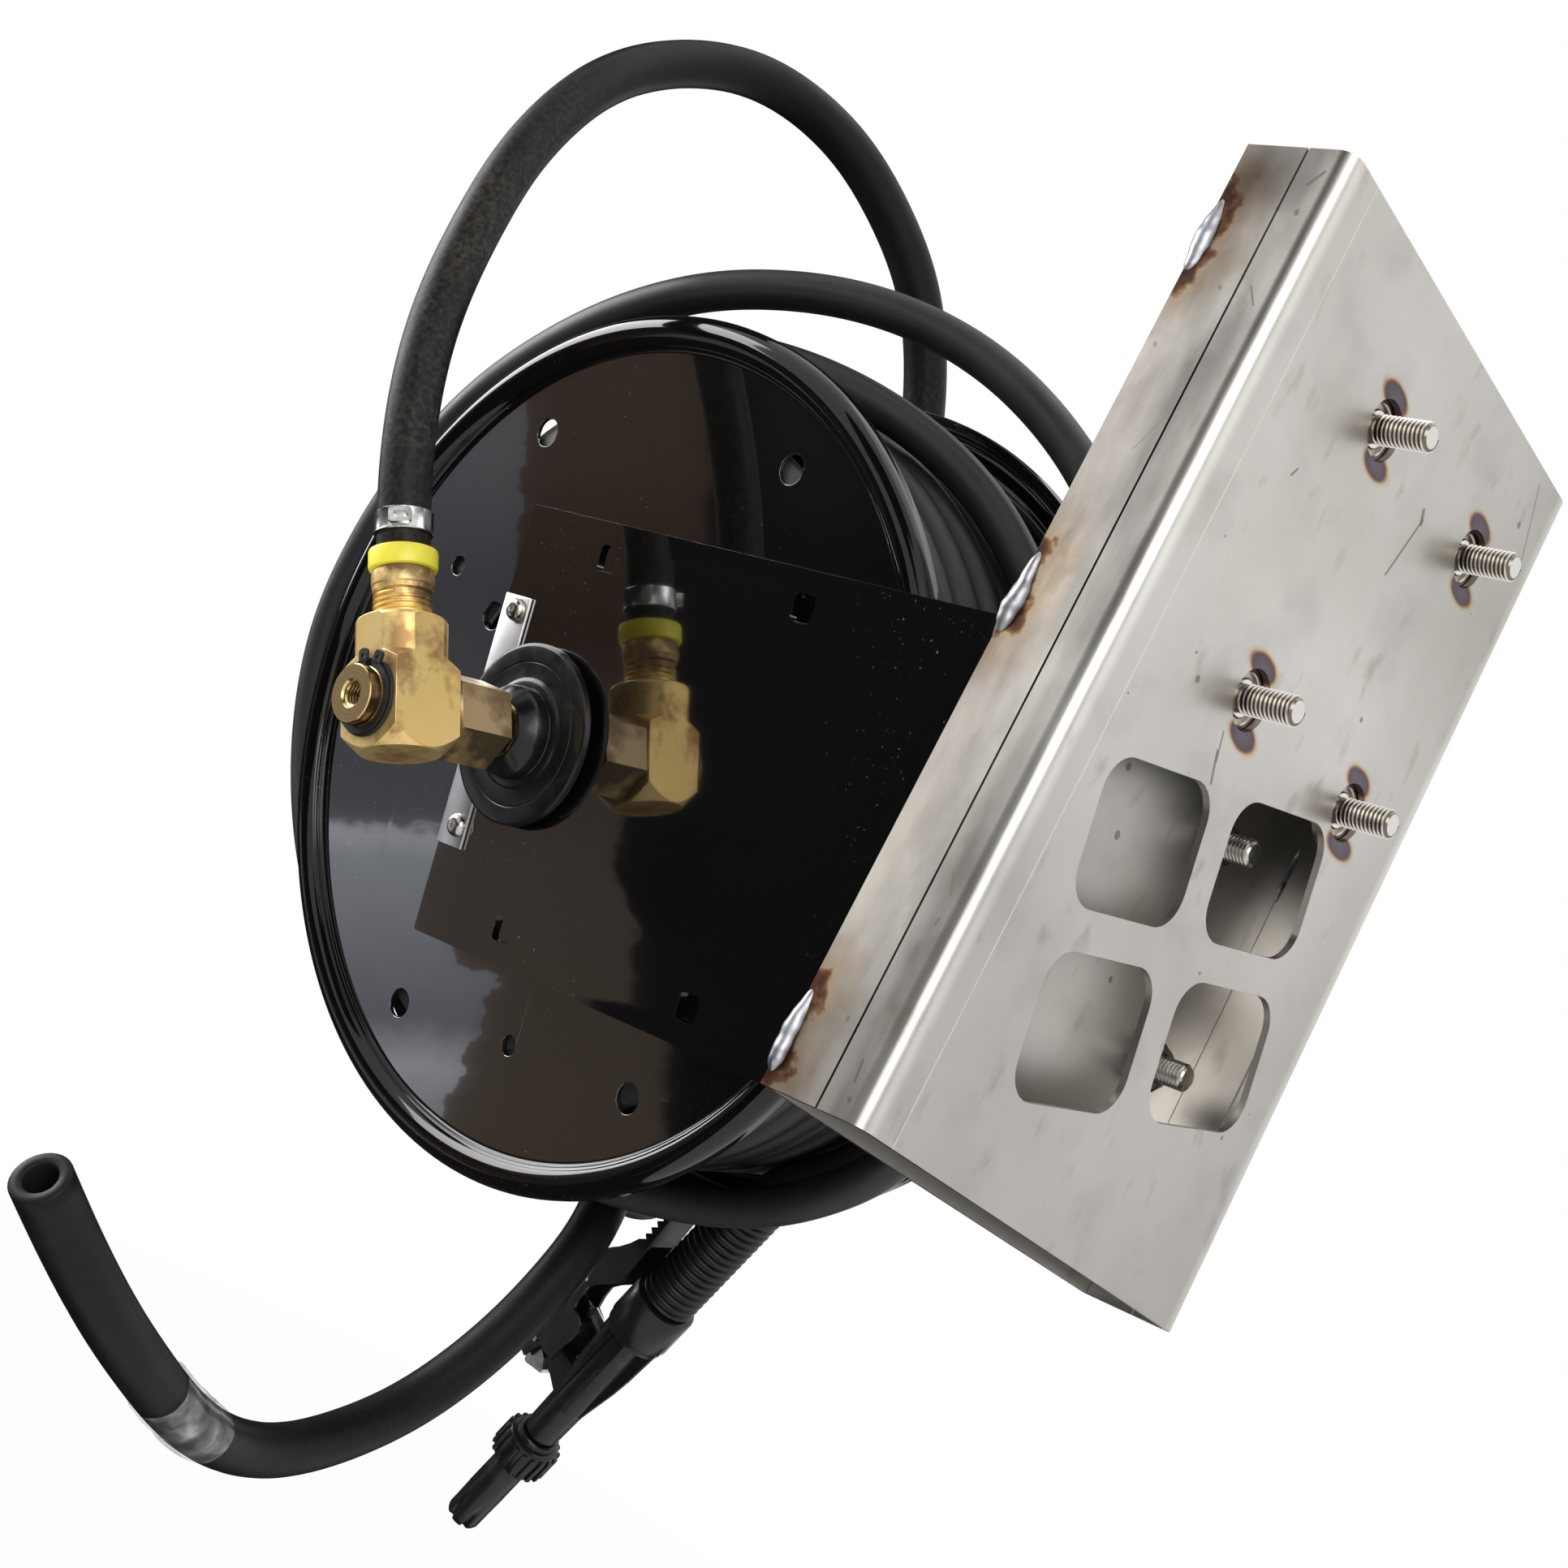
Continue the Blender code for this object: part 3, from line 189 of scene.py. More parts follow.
class Finish:
    """One surface finish: a Principled shader and the texture nodes that feed it."""

    def __init__(self, name, color, roughness, metallic=0.0):
        self.material = bpy.data.materials.new(name)
        self.material.use_nodes = True
        self.tree = self.material.node_tree
        self.shader = self.tree.nodes["Principled BSDF"]
        self.set("Base Color", (*color, 1.0))
        self.set("Roughness", roughness)
        self.set("Metallic", metallic)
        self.place = self.node("ShaderNodeTexCoord").outputs["Object"]

    def node(self, kind, settings=(), inputs=()):
        made = self.tree.nodes.new(kind)
        for key, value in dict(settings).items():
            setattr(made, key, value)
        for key, value in dict(inputs).items():
            if isinstance(value, bpy.types.NodeSocket):
                self.tree.links.new(value, made.inputs[key])
            else:
                made.inputs[key].default_value = value
        return made

    def set(self, socket, value):
        if isinstance(value, bpy.types.NodeSocket):
            self.tree.links.new(value, self.shader.inputs[socket])
        else:
            self.shader.inputs[socket].default_value = value

    def noise(self, scale, detail=3.0, stretch=(1, 1, 1), shift=(0, 0, 0)):
        moved = self.node("ShaderNodeMapping", (), {"Vector": self.place, "Scale": stretch,
                                                    "Location": shift})
        made = self.node("ShaderNodeTexNoise", (), {"Vector": moved.outputs[0], "Scale": scale,
                                                    "Detail": detail})
        return made.outputs["Fac"]

    def ramp(self, value, *stops):
        made = self.node("ShaderNodeValToRGB", (), {"Fac": value})
        elements = made.color_ramp.elements
        while len(elements) < len(stops):
            elements.new(1.0)
        for element, (position, color) in zip(elements, stops):
            element.position = position
            element.color = (*color, 1.0) if hasattr(color, "__len__") else (color,) * 3 + (1,)
        return made.outputs["Color"]

    def mix(self, amount, first, second, blend="MIX"):
        made = self.node("ShaderNodeMix", {"data_type": "RGBA", "blend_type": blend})
        for index, value in ((0, amount), (6, first), (7, second)):
            if isinstance(value, bpy.types.NodeSocket):
                self.tree.links.new(value, made.inputs[index])
            elif index == 0:
                made.inputs[0].default_value = value
            else:
                made.inputs[index].default_value = (*value, 1.0)
        return made.outputs[2]

    def tint(self, color, by, share=None):
        """A colour multiplied by another, all over or by a share."""
        tinted = self.mix(1.0, color, by, "MULTIPLY")
        return tinted if share is None else self.mix(share, color, tinted)

    def math(self, operation, first, second=0.0):
        return self.node("ShaderNodeMath", {"operation": operation},
                         {0: first, 1: second}).outputs[0]

    def add(self, first, second):
        return self.math("ADD", first, second)

    def less(self, first, second):
        return self.math("SUBTRACT", first, second)

    def times(self, first, second):
        return self.math("MULTIPLY", first, second)

    def size(self, value):
        return self.math("ABSOLUTE", value)

    def spread(self, first, second):
        """The length of the diagonal over two sides."""
        return self.math("SQRT", self.add(self.math("POWER", first, 2.0),
                                          self.math("POWER", second, 2.0)))

    def wander(self, value, size):
        """A noise set about zero, at a size."""
        return self.times(self.less(value, 0.5), size)

    def vector(self, operation, output, *inputs):
        return self.node("ShaderNodeVectorMath", {"operation": operation},
                         enumerate(inputs)).outputs[output]

    def axes(self):
        return self.node("ShaderNodeSeparateXYZ", (), {"Vector": self.place}).outputs

    def bump(self, height, strength, distance=0.1 * MM):
        made = self.node("ShaderNodeBump", (), {"Height": height, "Strength": strength,
                                                "Distance": distance})
        self.set("Normal", made.outputs["Normal"])


def rubber(name, color, dust, dust_and_shade_by_height, shine):
    """Black rubber with a fine cloth print, worn, with dust in patches that a height ramp keeps to
    some heights: partly real dust, partly painted shade above and below them.
    """
    finish = Finish(name, color, 0.5)
    patches = finish.noise(22, 5)
    grains = finish.noise(420, 4, shift=(3, 1, 2))
    level = finish.add(finish.times(finish.axes()[2], 1.5), 0.6)
    dust_and_shade = finish.times(finish.ramp(patches, (0.40, 0.3), (0.66, 1.0)),
                        finish.ramp(grains, (0.40, 0.0), (0.70, 1.0)))
    # Dust only at the heights this ramp lets through, so the hose stays darker above and below
    # them: painted shade.
    dust_and_shade = finish.times(dust_and_shade, finish.ramp(level, *dust_and_shade_by_height))
    finish.set("Base Color", finish.mix(finish.times(dust_and_shade, dust), color,
                                        (0.075, 0.062, 0.050)))
    finish.set("Roughness", finish.ramp(patches, (0.3, 0.38), (0.7, 0.54)))
    finish.set("Specular IOR Level", shine)
    finish.bump(finish.noise(900, 3), 0.35, 0.12 * MM)
    return finish.material


# The supply hose's dust lies at middle heights, with its top and its low end left darker: painted
# shade.
SUPPLY_RUBBER = rubber("supply_rubber", (0.0070, 0.0066, 0.0063), 0.9,
                       ((0.12, 0.10), (0.38, 1.0), (0.60, 1.0), (0.80, 0.06)), 0.16)


def supply_hose():
    knots = [on_reel(*knot) for knot in SUPPLY_ROUTE]
    route, length = smooth_route(knots, 6 * MM)
    route = route[:2] + relaxed(route[2:], 12)
    shape = tube_mesh("supply_hose", route, SUPPLY_RADIUS, 32, False)
    along = (route[-1] - route[-2]).normalized()
    # The cut face and the bore behind it, as shares of the radius and depths in millimetres.
    cut_end = ((0.95, 0.6), (0.60, 0.6), (0.56, 0.1), (0.56, -60.0))
    for end, way, steps in ((route[0], -along, ()), (route[-1], along, cut_end)):
        loop = [edge for edge in shape.edges if edge.is_boundary
                and (edge.verts[0].co - end).length < 1.2 * SUPPLY_RADIUS]
        if not steps:
            bmesh.ops.edgeloop_fill(shape, edges=loop)
            continue
        for share, depth in steps:
            grown = bmesh.ops.extrude_edge_only(shape, edges=loop)["geom"]
            loop = edges_of(grown)
            for vert in verts_of(grown):
                offset = vert.co - end
                offset -= offset.dot(way) * way
                vert.co = end + offset.normalized() * SUPPLY_RADIUS * share + way * depth * MM
        bmesh.ops.edgeloop_fill(shape, edges=loop)
    made = piece("supply_hose", shape, SUPPLY_RUBBER, "box_and_frame", "black_rubber",
                 "inlet_hose", sharp=50)
    return made, route, length


supply, supply_path, supply_length = supply_hose()


# Slack hose. The free end of the wound hose, 18.2 mm outside: one loose turn on the winding,
# one loop that stands clear above it, and the drop to the gun's bend protector.
HOSE_RADIUS = 9.1 * MM
AXIS_OUT, AXIS_UP = -280.0, -140.0
SLACK_ROUTE = [
    (112, 112, 191.5), (95, 104, 191.5), (78, 84, 191.5), (62, 62, 191.5), (46, 52, 192),
    (28, 49, 193), (10, 50, 197), (-8, 51, 203), (-24, 52, 210), (-38, 52, 211), (-50, 52, 206),
    (-62, 53, 200.5), (-74, 60, 195), (-86, 76, 191.5), (-98, 94, 191.5), (-112, 108, 192),
    (-130, 116, 196), (-150, 119.5, 206), (-168, 120.5, 217), (-184, 121, 223.5),
    (-199, 121.5, 219.5), (-213, 121.5, 215), (-227, 120, 213), (-243, 115, 213.5),
    (-256, 106, 218.5), (-266, 94, 223.5), (-277, 78, 229), (-288, 62, 232.5), (-300, 50, 233.5),
    (-314, 41, 232.5), (-330, 35, 228), (-346, 31, 220), (-362, 29, 211), (-378, 28, 202),
    (-392, 28, 195), (-405, 28, 191.5), (-416, 29, 191.5)]
GUN = REEL @ Matrix.Translation((0.030, -0.203, -0.326)) @ Matrix.Rotation(
    math.radians(148.4), 4, "X")
HOSE_RUBBER = rubber("hose_rubber", (0.0125, 0.0125, 0.0132), 0.12,
                     ((0.0, 1.0), (1.0, 1.0)), 0.45)


def slack_hose():
    knots = []
    for angle, across, radius in SLACK_ROUTE:
        turn = math.radians(angle)
        knots.append(on_reel(across, AXIS_OUT + radius * math.cos(turn),
                             AXIS_UP + radius * math.sin(turn)))
    knots += [GUN @ Vector((0, 0, station * MM)) for station in (-30.0, -12.0, 24.0, 60.5)]
    route, length = smooth_route(knots, 5 * MM)
    route = relaxed(route, 14)
    shape = tube_mesh("slack_hose", route, HOSE_RADIUS, 28, True)
    made = piece("slack_hose_loop", shape, HOSE_RUBBER, "box_and_frame", "black_rubber",
                 "slack_hose", sharp=60)
    return made, route, length


slack, slack_path, slack_length = slack_hose()


# Studio. A white floor well below the hanging reel, a soft world and three lamps. Eight cards
# that only gloss sees stand beside it, as a studio sets them for shiny metal and paint.
def stage_plane(name, centre, facing, width, height, material):
    shape = bmesh.new()
    bmesh.ops.create_grid(shape, x_segments=1, y_segments=1, size=0.5)
    bmesh.ops.scale(shape, vec=(width, height, 1), verts=shape.verts)
    made = new_object(name, shape, material)
    made.rotation_euler = Vector(facing).to_track_quat("Z", "Y").to_euler()
    made.location = centre
    return made


def background_share(tree):
    """1 for the rays that see the background: camera, glossy and transmission."""
    path = tree.nodes.new("ShaderNodeLightPath")
    total = path.outputs["Is Camera Ray"]
    for output in ("Is Glossy Ray", "Is Transmission Ray"):
        both = tree.nodes.new("ShaderNodeMath")
        both.operation = "MAXIMUM"
        tree.links.new(total, both.inputs[0])
        tree.links.new(path.outputs[output], both.inputs[1])
        total = both.outputs[0]
    return total


def backdrop():
    """Painted cloths beside the reel: a grey-blue wall, a brown drape and a black one."""
    finish = Finish("backdrop", (0.0, 0.0, 0.0), 1.0)
    across, up, _ = finish.axes()
    wave = finish.add(finish.times(finish.noise(26, 3), 0.03),
                      finish.times(finish.noise(85, 3), 0.024))
    wave = finish.less(wave, 0.027)
    across = finish.add(finish.add(across, wave), 0.5)
    up = finish.add(finish.add(up, wave), 0.5)
    wall = finish.ramp(up, (0.24, (0.55, 0.58, 0.66)), (0.32, (0.95, 0.98, 1.05)),
                       (0.37, (0.36, 0.37, 0.42)), (0.55, (0.70, 0.74, 0.82)),
                       (0.575, (1.0, 1.04, 1.12)), (0.585, (0.22, 0.22, 0.26)),
                       (0.85, (0.16, 0.16, 0.19)), (1.0, (0.26, 0.26, 0.29)))
    drape = finish.ramp(up, (0.25, (0.17, 0.13, 0.10)), (0.55, (0.16, 0.13, 0.11)),
                        (0.80, (0.07, 0.045, 0.032)), (1.0, (0.11, 0.072, 0.052)))
    share = finish.ramp(across, (0.622, 0.0), (0.634, 1.0))
    color = finish.mix(share, (0.010, 0.011, 0.013), drape)
    edge = finish.ramp(up, (0.25, 0.876), (0.335, 0.850), (0.425, 0.818), (0.435, 0.872),
                       (0.50, 0.876), (0.64, 0.846), (0.90, 0.834), (1.0, 0.834))
    share = finish.math("GREATER_THAN", across, edge)
    color = finish.mix(share, color, wall)
    share = finish.ramp(across, (1.02, 0.0), (1.05, 1.0))
    color = finish.mix(share, color, (1.5, 1.5, 1.5))
    finish.set("Specular IOR Level", 0.0)
    finish.set("Emission Color", color)
    finish.set("Emission Strength", 1.0)
    return finish.material


def soft_card(name, middle, rim, reach):
    """A card whose glow runs from its upright middle line to a reach on both sides."""
    finish = Finish(name, (0.0, 0.0, 0.0), 1.0)
    across = finish.size(finish.axes()[0])
    finish.set("Specular IOR Level", 0.0)
    finish.set("Emission Color", (1.0, 1.0, 1.0, 1.0))
    fall = finish.node("ShaderNodeMapRange", {"interpolation_type": "SMOOTHSTEP"},
                       {"Value": across, "From Max": reach, "To Min": middle, "To Max": rim})
    finish.set("Emission Strength", fall.outputs["Result"])
    return finish.material


FLOOR_GLOW = 0.975


def studio():
    world = bpy.data.worlds.new("studio")
    bpy.context.scene.world = world
    world.use_nodes = True
    tree = world.node_tree
    background = tree.nodes["Background"]
    strength = tree.nodes.new("ShaderNodeMapRange")
    strength.inputs["To Min"].default_value = 0.45
    strength.inputs["To Max"].default_value = 1.0
    tree.links.new(background_share(tree), strength.inputs["Value"])
    tree.links.new(strength.outputs["Result"], background.inputs["Strength"])
    background.inputs["Color"].default_value = (1.0, 1.0, 1.0, 1.0)

    paint = Finish("floor_paint", (0.9, 0.9, 0.9), 0.9)
    share = paint.times(background_share(paint.tree), FLOOR_GLOW)
    glow = paint.node("ShaderNodeEmission").outputs[0]
    blend = paint.node("ShaderNodeMixShader", (), {0: share, 1: paint.shader.outputs[0], 2: glow})
    paint.tree.links.new(blend.outputs[0],
                         paint.tree.nodes["Material Output"].inputs["Surface"])
    stage_plane("floor", (0.0, -0.2, -1.3), (0, 0, 1), 14, 14, paint.material)

    dark = Finish("black_card", (0.012, 0.011, 0.010), 1.0).material
    cards = (("card_behind_left", (-1.45, -2.4, 0.1), (0.0, 1.0, 0.0), 5.5, 6.4, dark),
             ("card_behind_low", (2.75, -2.4, -1.65), (0.0, 1.0, 0.0), 2.9, 3.0, dark),
             ("card_right_low", (2.6, -0.7, -1.72), (-1.0, 0.0, 0.0), 3.4, 2.9, dark),
             ("card_right_high", (2.6, 0.15, 1.95), (-1.0, 0.0, 0.0), 2.3, 2.3, dark),
             ("card_on_floor", (-0.6, -1.35, -1.28), (0.0, 0.0, 1.0), 5.0, 2.1, dark),
             ("card_for_reel", (1.25, -1.25, -0.75), (-0.7, 0.67, 0.26), 1.7, 1.5,
              backdrop()),
             ("card_for_bend", (0.05, 1.9, 0.25), (0.0, -1.0, -0.15), 0.8, 2.4,
              soft_card("grey_card", 0.25, 1.0, 0.4)),
             ("card_bright", (1.35, 1.40, 0.38), (-0.66, -0.70, -0.2), 2.3, 2.2,
              soft_card("white_card", 1.5, 1.0, 1.1)))
    for name, centre, facing, width, height, material in cards:
        made = stage_plane(name, centre, facing, width, height, material)
        made.visible_camera = False
        made.visible_diffuse = False
        made.visible_shadow = False
        made.visible_transmission = False

    lamps = (("key", (1.25, 1.30, 0.35), (0.05, -0.05, -0.1), 1.2, 15.0),
             ("top", (-0.3, 0.2, 1.7), (0.0, -0.2, -0.1), 1.6, 7.0),
             ("side", (1.0, -1.9, 0.4), (0.0, -0.3, -0.1), 1.4, 46.0))
    for name, centre, aim, width, power in lamps:
        light = bpy.data.lights.new(name, "AREA")
        light.shape = "RECTANGLE"
        light.size = light.size_y = width
        light.energy = power
        lamp = bpy.data.objects.new(name, light)
        bpy.context.scene.collection.objects.link(lamp)
        lamp.location = centre
        lamp.rotation_euler = (Vector(centre) - Vector(aim)).to_track_quat("Z", "Y").to_euler()


studio()


# Box front. One 3.2 mm stainless sheet, cut with four windows and four stud holes and folded
# at both edges, with the mill's cloudy finish, heat tints by the studs and a scribed line.
SHEET = 3.2 * MM
BOX_NEAR, BOX_FAR, BOX_TOP, BOX_BOTTOM = 147.5 * MM, -106.0 * MM, 122.3 * MM, -283.5 * MM
BOX_BEND = 7.5 * MM
SEAM_DEPTH = 20.5 * MM
STUD_ACROSS, STUD_UP, STUD_HOLE = 0.050, 0.062, 12.6 * MM
WINDOW_TURN = math.radians(16.0)


def arc(centre, radius, start, end, count):
    """Points of an arc, from one angle to another in degrees."""
    turns = [math.radians(start + (end - start) * step / count) for step in range(count + 1)]
    return [(centre[0] + radius * math.cos(turn), centre[1] + radius * math.sin(turn))
            for turn in turns]


def rounded_rectangle(width, height, corner, centre=(0.0, 0.0), turn=0.0, count=10):
    """An outline with its corners rounded, each in a count of steps."""
    outline = []
    for side_x, side_y, start in ((1, 1, 0), (-1, 1, 90), (-1, -1, 180), (1, -1, 270)):
        middle = (side_x * (width / 2 - corner), side_y * (height / 2 - corner))
        outline += arc(middle, corner, start, start + 90, count)
    cos, sin = math.cos(turn), math.sin(turn)
    return [(centre[0] + x * cos + y * sin, centre[1] - x * sin + y * cos) for x, y in outline]


def blank(outlines):
    """A flat blank cut from sheet in the XY plane, the first outline its edge."""
    curve = bpy.data.curves.new("blank", "CURVE")
    curve.dimensions = "2D"
    curve.fill_mode = "BOTH"
    for outline in outlines:
        spline = curve.splines.new("POLY")
        spline.points.add(len(outline) - 1)
        for point, (x, y) in zip(spline.points, outline):
            point.co = (x, y, 0, 1)
        spline.use_cyclic_u = True
    shape = shape_of_curve(curve, 0.001 * MM)
    for face in shape.faces:
        if face.normal.z < 0:
            face.normal_flip()
    return shape


def join(shape, part):
    """Add a part to a shape as a further shell."""
    loose = bpy.data.meshes.new("part")
    part.to_mesh(loose)
    part.free()
    shape.from_mesh(loose)
    bpy.data.meshes.remove(loose)


def raise_faces(shape, height):
    """Give a flat shape a thickness in millimetres, upwards."""
    grown = bmesh.ops.extrude_face_region(shape, geom=list(shape.faces))["geom"]
    bmesh.ops.translate(shape, vec=(0, 0, height * MM), verts=verts_of(grown))


def fold(shape, start, radius, side, steps=12):
    """Fold the sheet beyond x = start away from +Z, round a 90 degree bend."""
    length = radius * math.pi / 2
    for step in range(steps + 1):
        geometry = list(shape.verts) + list(shape.edges) + list(shape.faces)
        bmesh.ops.bisect_plane(shape, geom=geometry, dist=0.0005 * MM,
                               plane_co=(start + side * length * step / steps, 0, 0),
                               plane_no=(1, 0, 0))
    for vert in shape.verts:
        past = (vert.co.x - start) * side
        if past > 0:
            turn = min(past, length) / radius
            straight = max(past - length, 0.0)
            vert.co.x = start + side * (radius * math.sin(turn) + straight * math.cos(turn))
            vert.co.z -= radius * (1 - math.cos(turn)) + straight * math.sin(turn)


def soften(made, width, angle):
    """Round the edges sharper than an angle."""
    soft = made.modifiers.new("edge", "BEVEL")
    soft.width = width
    soft.segments = 2
    soft.limit_method = "ANGLE"
    soft.angle_limit = math.radians(angle)
    return soft


def thicken(made, wall, edge=0.3 * MM):
    """Give a folded sheet its wall, inward from its outer side, and soft cut edges."""
    solid = made.modifiers.new("wall", "SOLIDIFY")
    solid.thickness = wall
    solid.offset = -1
    soften(made, edge, 50).harden_normals = True


def sheet_piece(name, shape, material, body, slot, nodes, place, wall, edge=0.3 * MM):
    """A thickened sheet as a piece. Its normals stay as cut, so that the wall goes inward."""
    bmesh.ops.transform(shape, matrix=place, verts=shape.verts)
    made = new_object(name, shape, material)
    shade(made.data, 35)
    thicken(made, wall, edge)
    declare(made, body, slot, *nodes)


# Scratches and dark scuffs, each from a start to an end at a width, in millimetres.
SCRATCHES = (
    ((-3.5, 0, 53.0), (3.9, 0, 22.4), 0.8), ((-1.0, 0, 56.0), (-3.4, 0, 51.5), 1.6),
    ((55.6, 0, -87.4), (49.9, 0, -98.7), 1.0), ((57.5, 0, -80.0), (53.2, 0, -91.0), 0.7),
    ((-75.8, 0, 115.4), (-89.5, 0, 85.2), 0.5), ((91.0, 0, 18.0), (93.0, 0, 14.0), 0.7),
    ((147.5, -12.4, 94.0), (147.5, -12.0, 93.0), 1.3),
    ((147.5, -28.8, 58.4), (147.5, -28.2, 57.6), 1.1),
    ((147.5, -43.9, 31.0), (147.5, -43.6, 30.0), 1.0),
    ((147.5, -15.5, 60.0), (147.5, -10.5, 52.0), 0.6),
    ((147.5, -9.0, 112.0), (147.5, -13.5, 106.0), 0.9),
    ((147.5, -20.0, 8.0), (147.5, -30.0, -14.0), 0.35),
    ((147.5, -14.0, -188.0), (147.5, -11.0, -196.0), 0.9),
    ((147.5, -10.5, -206.0), (147.5, -10.9, -208.0), 0.9),
    ((147.5, -26.5, -250.0), (147.5, -26.2, -251.0), 1.0),
    ((147.5, -12.0, -262.0), (147.5, -11.0, -270.0), 0.8),
    ((147.5, -9.5, -276.0), (147.5, -9.3, -276.6), 1.1))


def stainless():
    finish = Finish("mill_stainless", (0.6, 0.57, 0.54), 0.3, 1.0)
    x, y, z = finish.axes()
    cloud = finish.noise(7, 5)
    patch = finish.noise(24, 5, shift=(4, 2, 7))
    color = finish.ramp(cloud, (0.30, (0.52, 0.495, 0.460)), (0.50, (0.605, 0.58, 0.545)),
                        (0.72, (0.68, 0.657, 0.625)))
    dull = finish.ramp(patch, (0.52, 1.0), (0.74, 0.84))
    color = finish.tint(color, dull)

    # The side walls are duller and mottled, and smoky towards the welds.
    middle, half = (BOX_NEAR + BOX_FAR) / 2, (BOX_NEAR - BOX_FAR) / 2
    inward = finish.less(half, finish.size(finish.less(x, middle)))
    side = finish.ramp(finish.times(inward, 100.0), (0.10, 1.0), (0.30, 0.0))
    mottle = finish.ramp(finish.noise(17, 6, stretch=(1, 1.6, 0.6), shift=(3, 6, 2)),
                         (0.34, (0.22, 0.215, 0.21)), (0.50, (0.38, 0.375, 0.37)),
                         (0.68, (0.60, 0.597, 0.59)))
    smoke = finish.ramp(finish.times(y, -20.0), (0.42, (1, 1, 1)),
                        (0.98, (0.84, 0.81, 0.78)))
    color = finish.tint(color, finish.tint(mottle, smoke), side)

    # The front face is painted darker towards its bottom, a little towards its top, and towards
    # its far edge: painted shade.
    front = finish.math("GREATER_THAN", y, -0.004)
    level = finish.times(finish.add(z, 0.28), 2.4)
    level = finish.ramp(level, (0.0, (0.78, 0.78, 0.79)), (0.30, (0.86, 0.86, 0.87)),
                        (0.60, (1.0, 1.0, 1.0)), (0.82, (0.92, 0.92, 0.92)))
    reach = finish.times(finish.add(x, 0.106), 3.9)
    reach = finish.ramp(reach, (0.0, (0.80, 0.79, 0.78)), (0.30, (0.94, 0.94, 0.94)),
                        (0.50, (1.0, 1.0, 1.0)))
    color = finish.tint(color, finish.tint(level, reach), front)
    # The sheet is painted lighter for some millimetres on both sides of the fold: a painted
    # highlight along the bend.
    bend_highlight = finish.times(finish.ramp(finish.times(y, -50.0), (0.36, 1.0), (0.66, 0.0)),
                         finish.ramp(finish.times(inward, 50.0), (0.36, 1.0), (0.58, 0.0)))
    color = finish.tint(color, (1.34, 1.34, 1.34), bend_highlight)
    # The inside of the box is painted a little darker: painted shade.
    depth = finish.size(finish.add(y, 0.0255))
    inner = finish.times(finish.math("GREATER_THAN", inward, 0.0030),
                         finish.math("LESS_THAN", depth, 0.0222))
    color = finish.tint(color, (0.95, 0.95, 0.95), inner)

    # Heat tints over and under each stud, folded so that one oval makes all eight.
    across = finish.less(x, finish.times(finish.math("SIGN", x), STUD_ACROSS))
    along = finish.less(z, finish.times(finish.math("SIGN", z), STUD_UP))
    lean = finish.less(finish.times(finish.math("SIGN", along), 0.0039), 0.0011)
    across = finish.less(across, lean)
    along = finish.less(finish.size(along), 0.0132)
    radial = finish.spread(finish.math("DIVIDE", across, 0.0112),
                           finish.math("DIVIDE", along, 0.0054))
    radial = finish.add(radial, finish.wander(finish.noise(60, 2), 0.35))
    heat = finish.ramp(finish.math("DIVIDE", radial, 2.0), (0.0, (0.22, 0.21, 0.26)),
                       (0.26, (0.20, 0.17, 0.22)), (0.42, (0.20, 0.13, 0.15)),
                       (0.48, (0.58, 0.38, 0.20)), (0.54, (0.94, 0.84, 0.68)),
                       (0.66, (1, 1, 1)))
    color = finish.tint(color, heat, front)

    # Scorching beside the three stitch welds on each back corner.
    runs = None
    for centre in (0.0805, -0.079, -0.262):
        off = finish.math("MAXIMUM", finish.less(finish.size(finish.less(z, centre)), 0.015), 0.0)
        runs = off if runs is None else finish.math("MINIMUM", runs, off)
    scorch = finish.math("DIVIDE", finish.spread(runs, finish.add(y, 0.0485)), 0.034)
    scorch = finish.add(scorch, finish.wander(finish.noise(55, 5, shift=(9, 4, 1)), 0.9))
    scorch = finish.add(scorch, finish.wander(finish.noise(190, 5, shift=(2, 7, 5)), 0.34))
    burn = finish.ramp(scorch, (0.0, (0.10, 0.06, 0.05)), (0.15, (0.26, 0.13, 0.075)),
                       (0.22, (0.55, 0.34, 0.20)), (0.26, (0.86, 0.72, 0.56)),
                       (0.46, (0.88, 0.80, 0.71)), (0.85, (1, 1, 1)))
    soot = finish.vector("DISTANCE", "Value", finish.place, (0.1475, -0.037, 0.108))
    soot = finish.add(finish.times(soot, 25.0), finish.wander(cloud, 1.2))
    soot = finish.ramp(soot, (0.05, (0.34, 0.31, 0.29)), (0.65, (1, 1, 1)))
    color = finish.tint(color, soot, side)
    color = finish.tint(color, finish.mix(side, (1.0, 1.0, 1.0), burn))

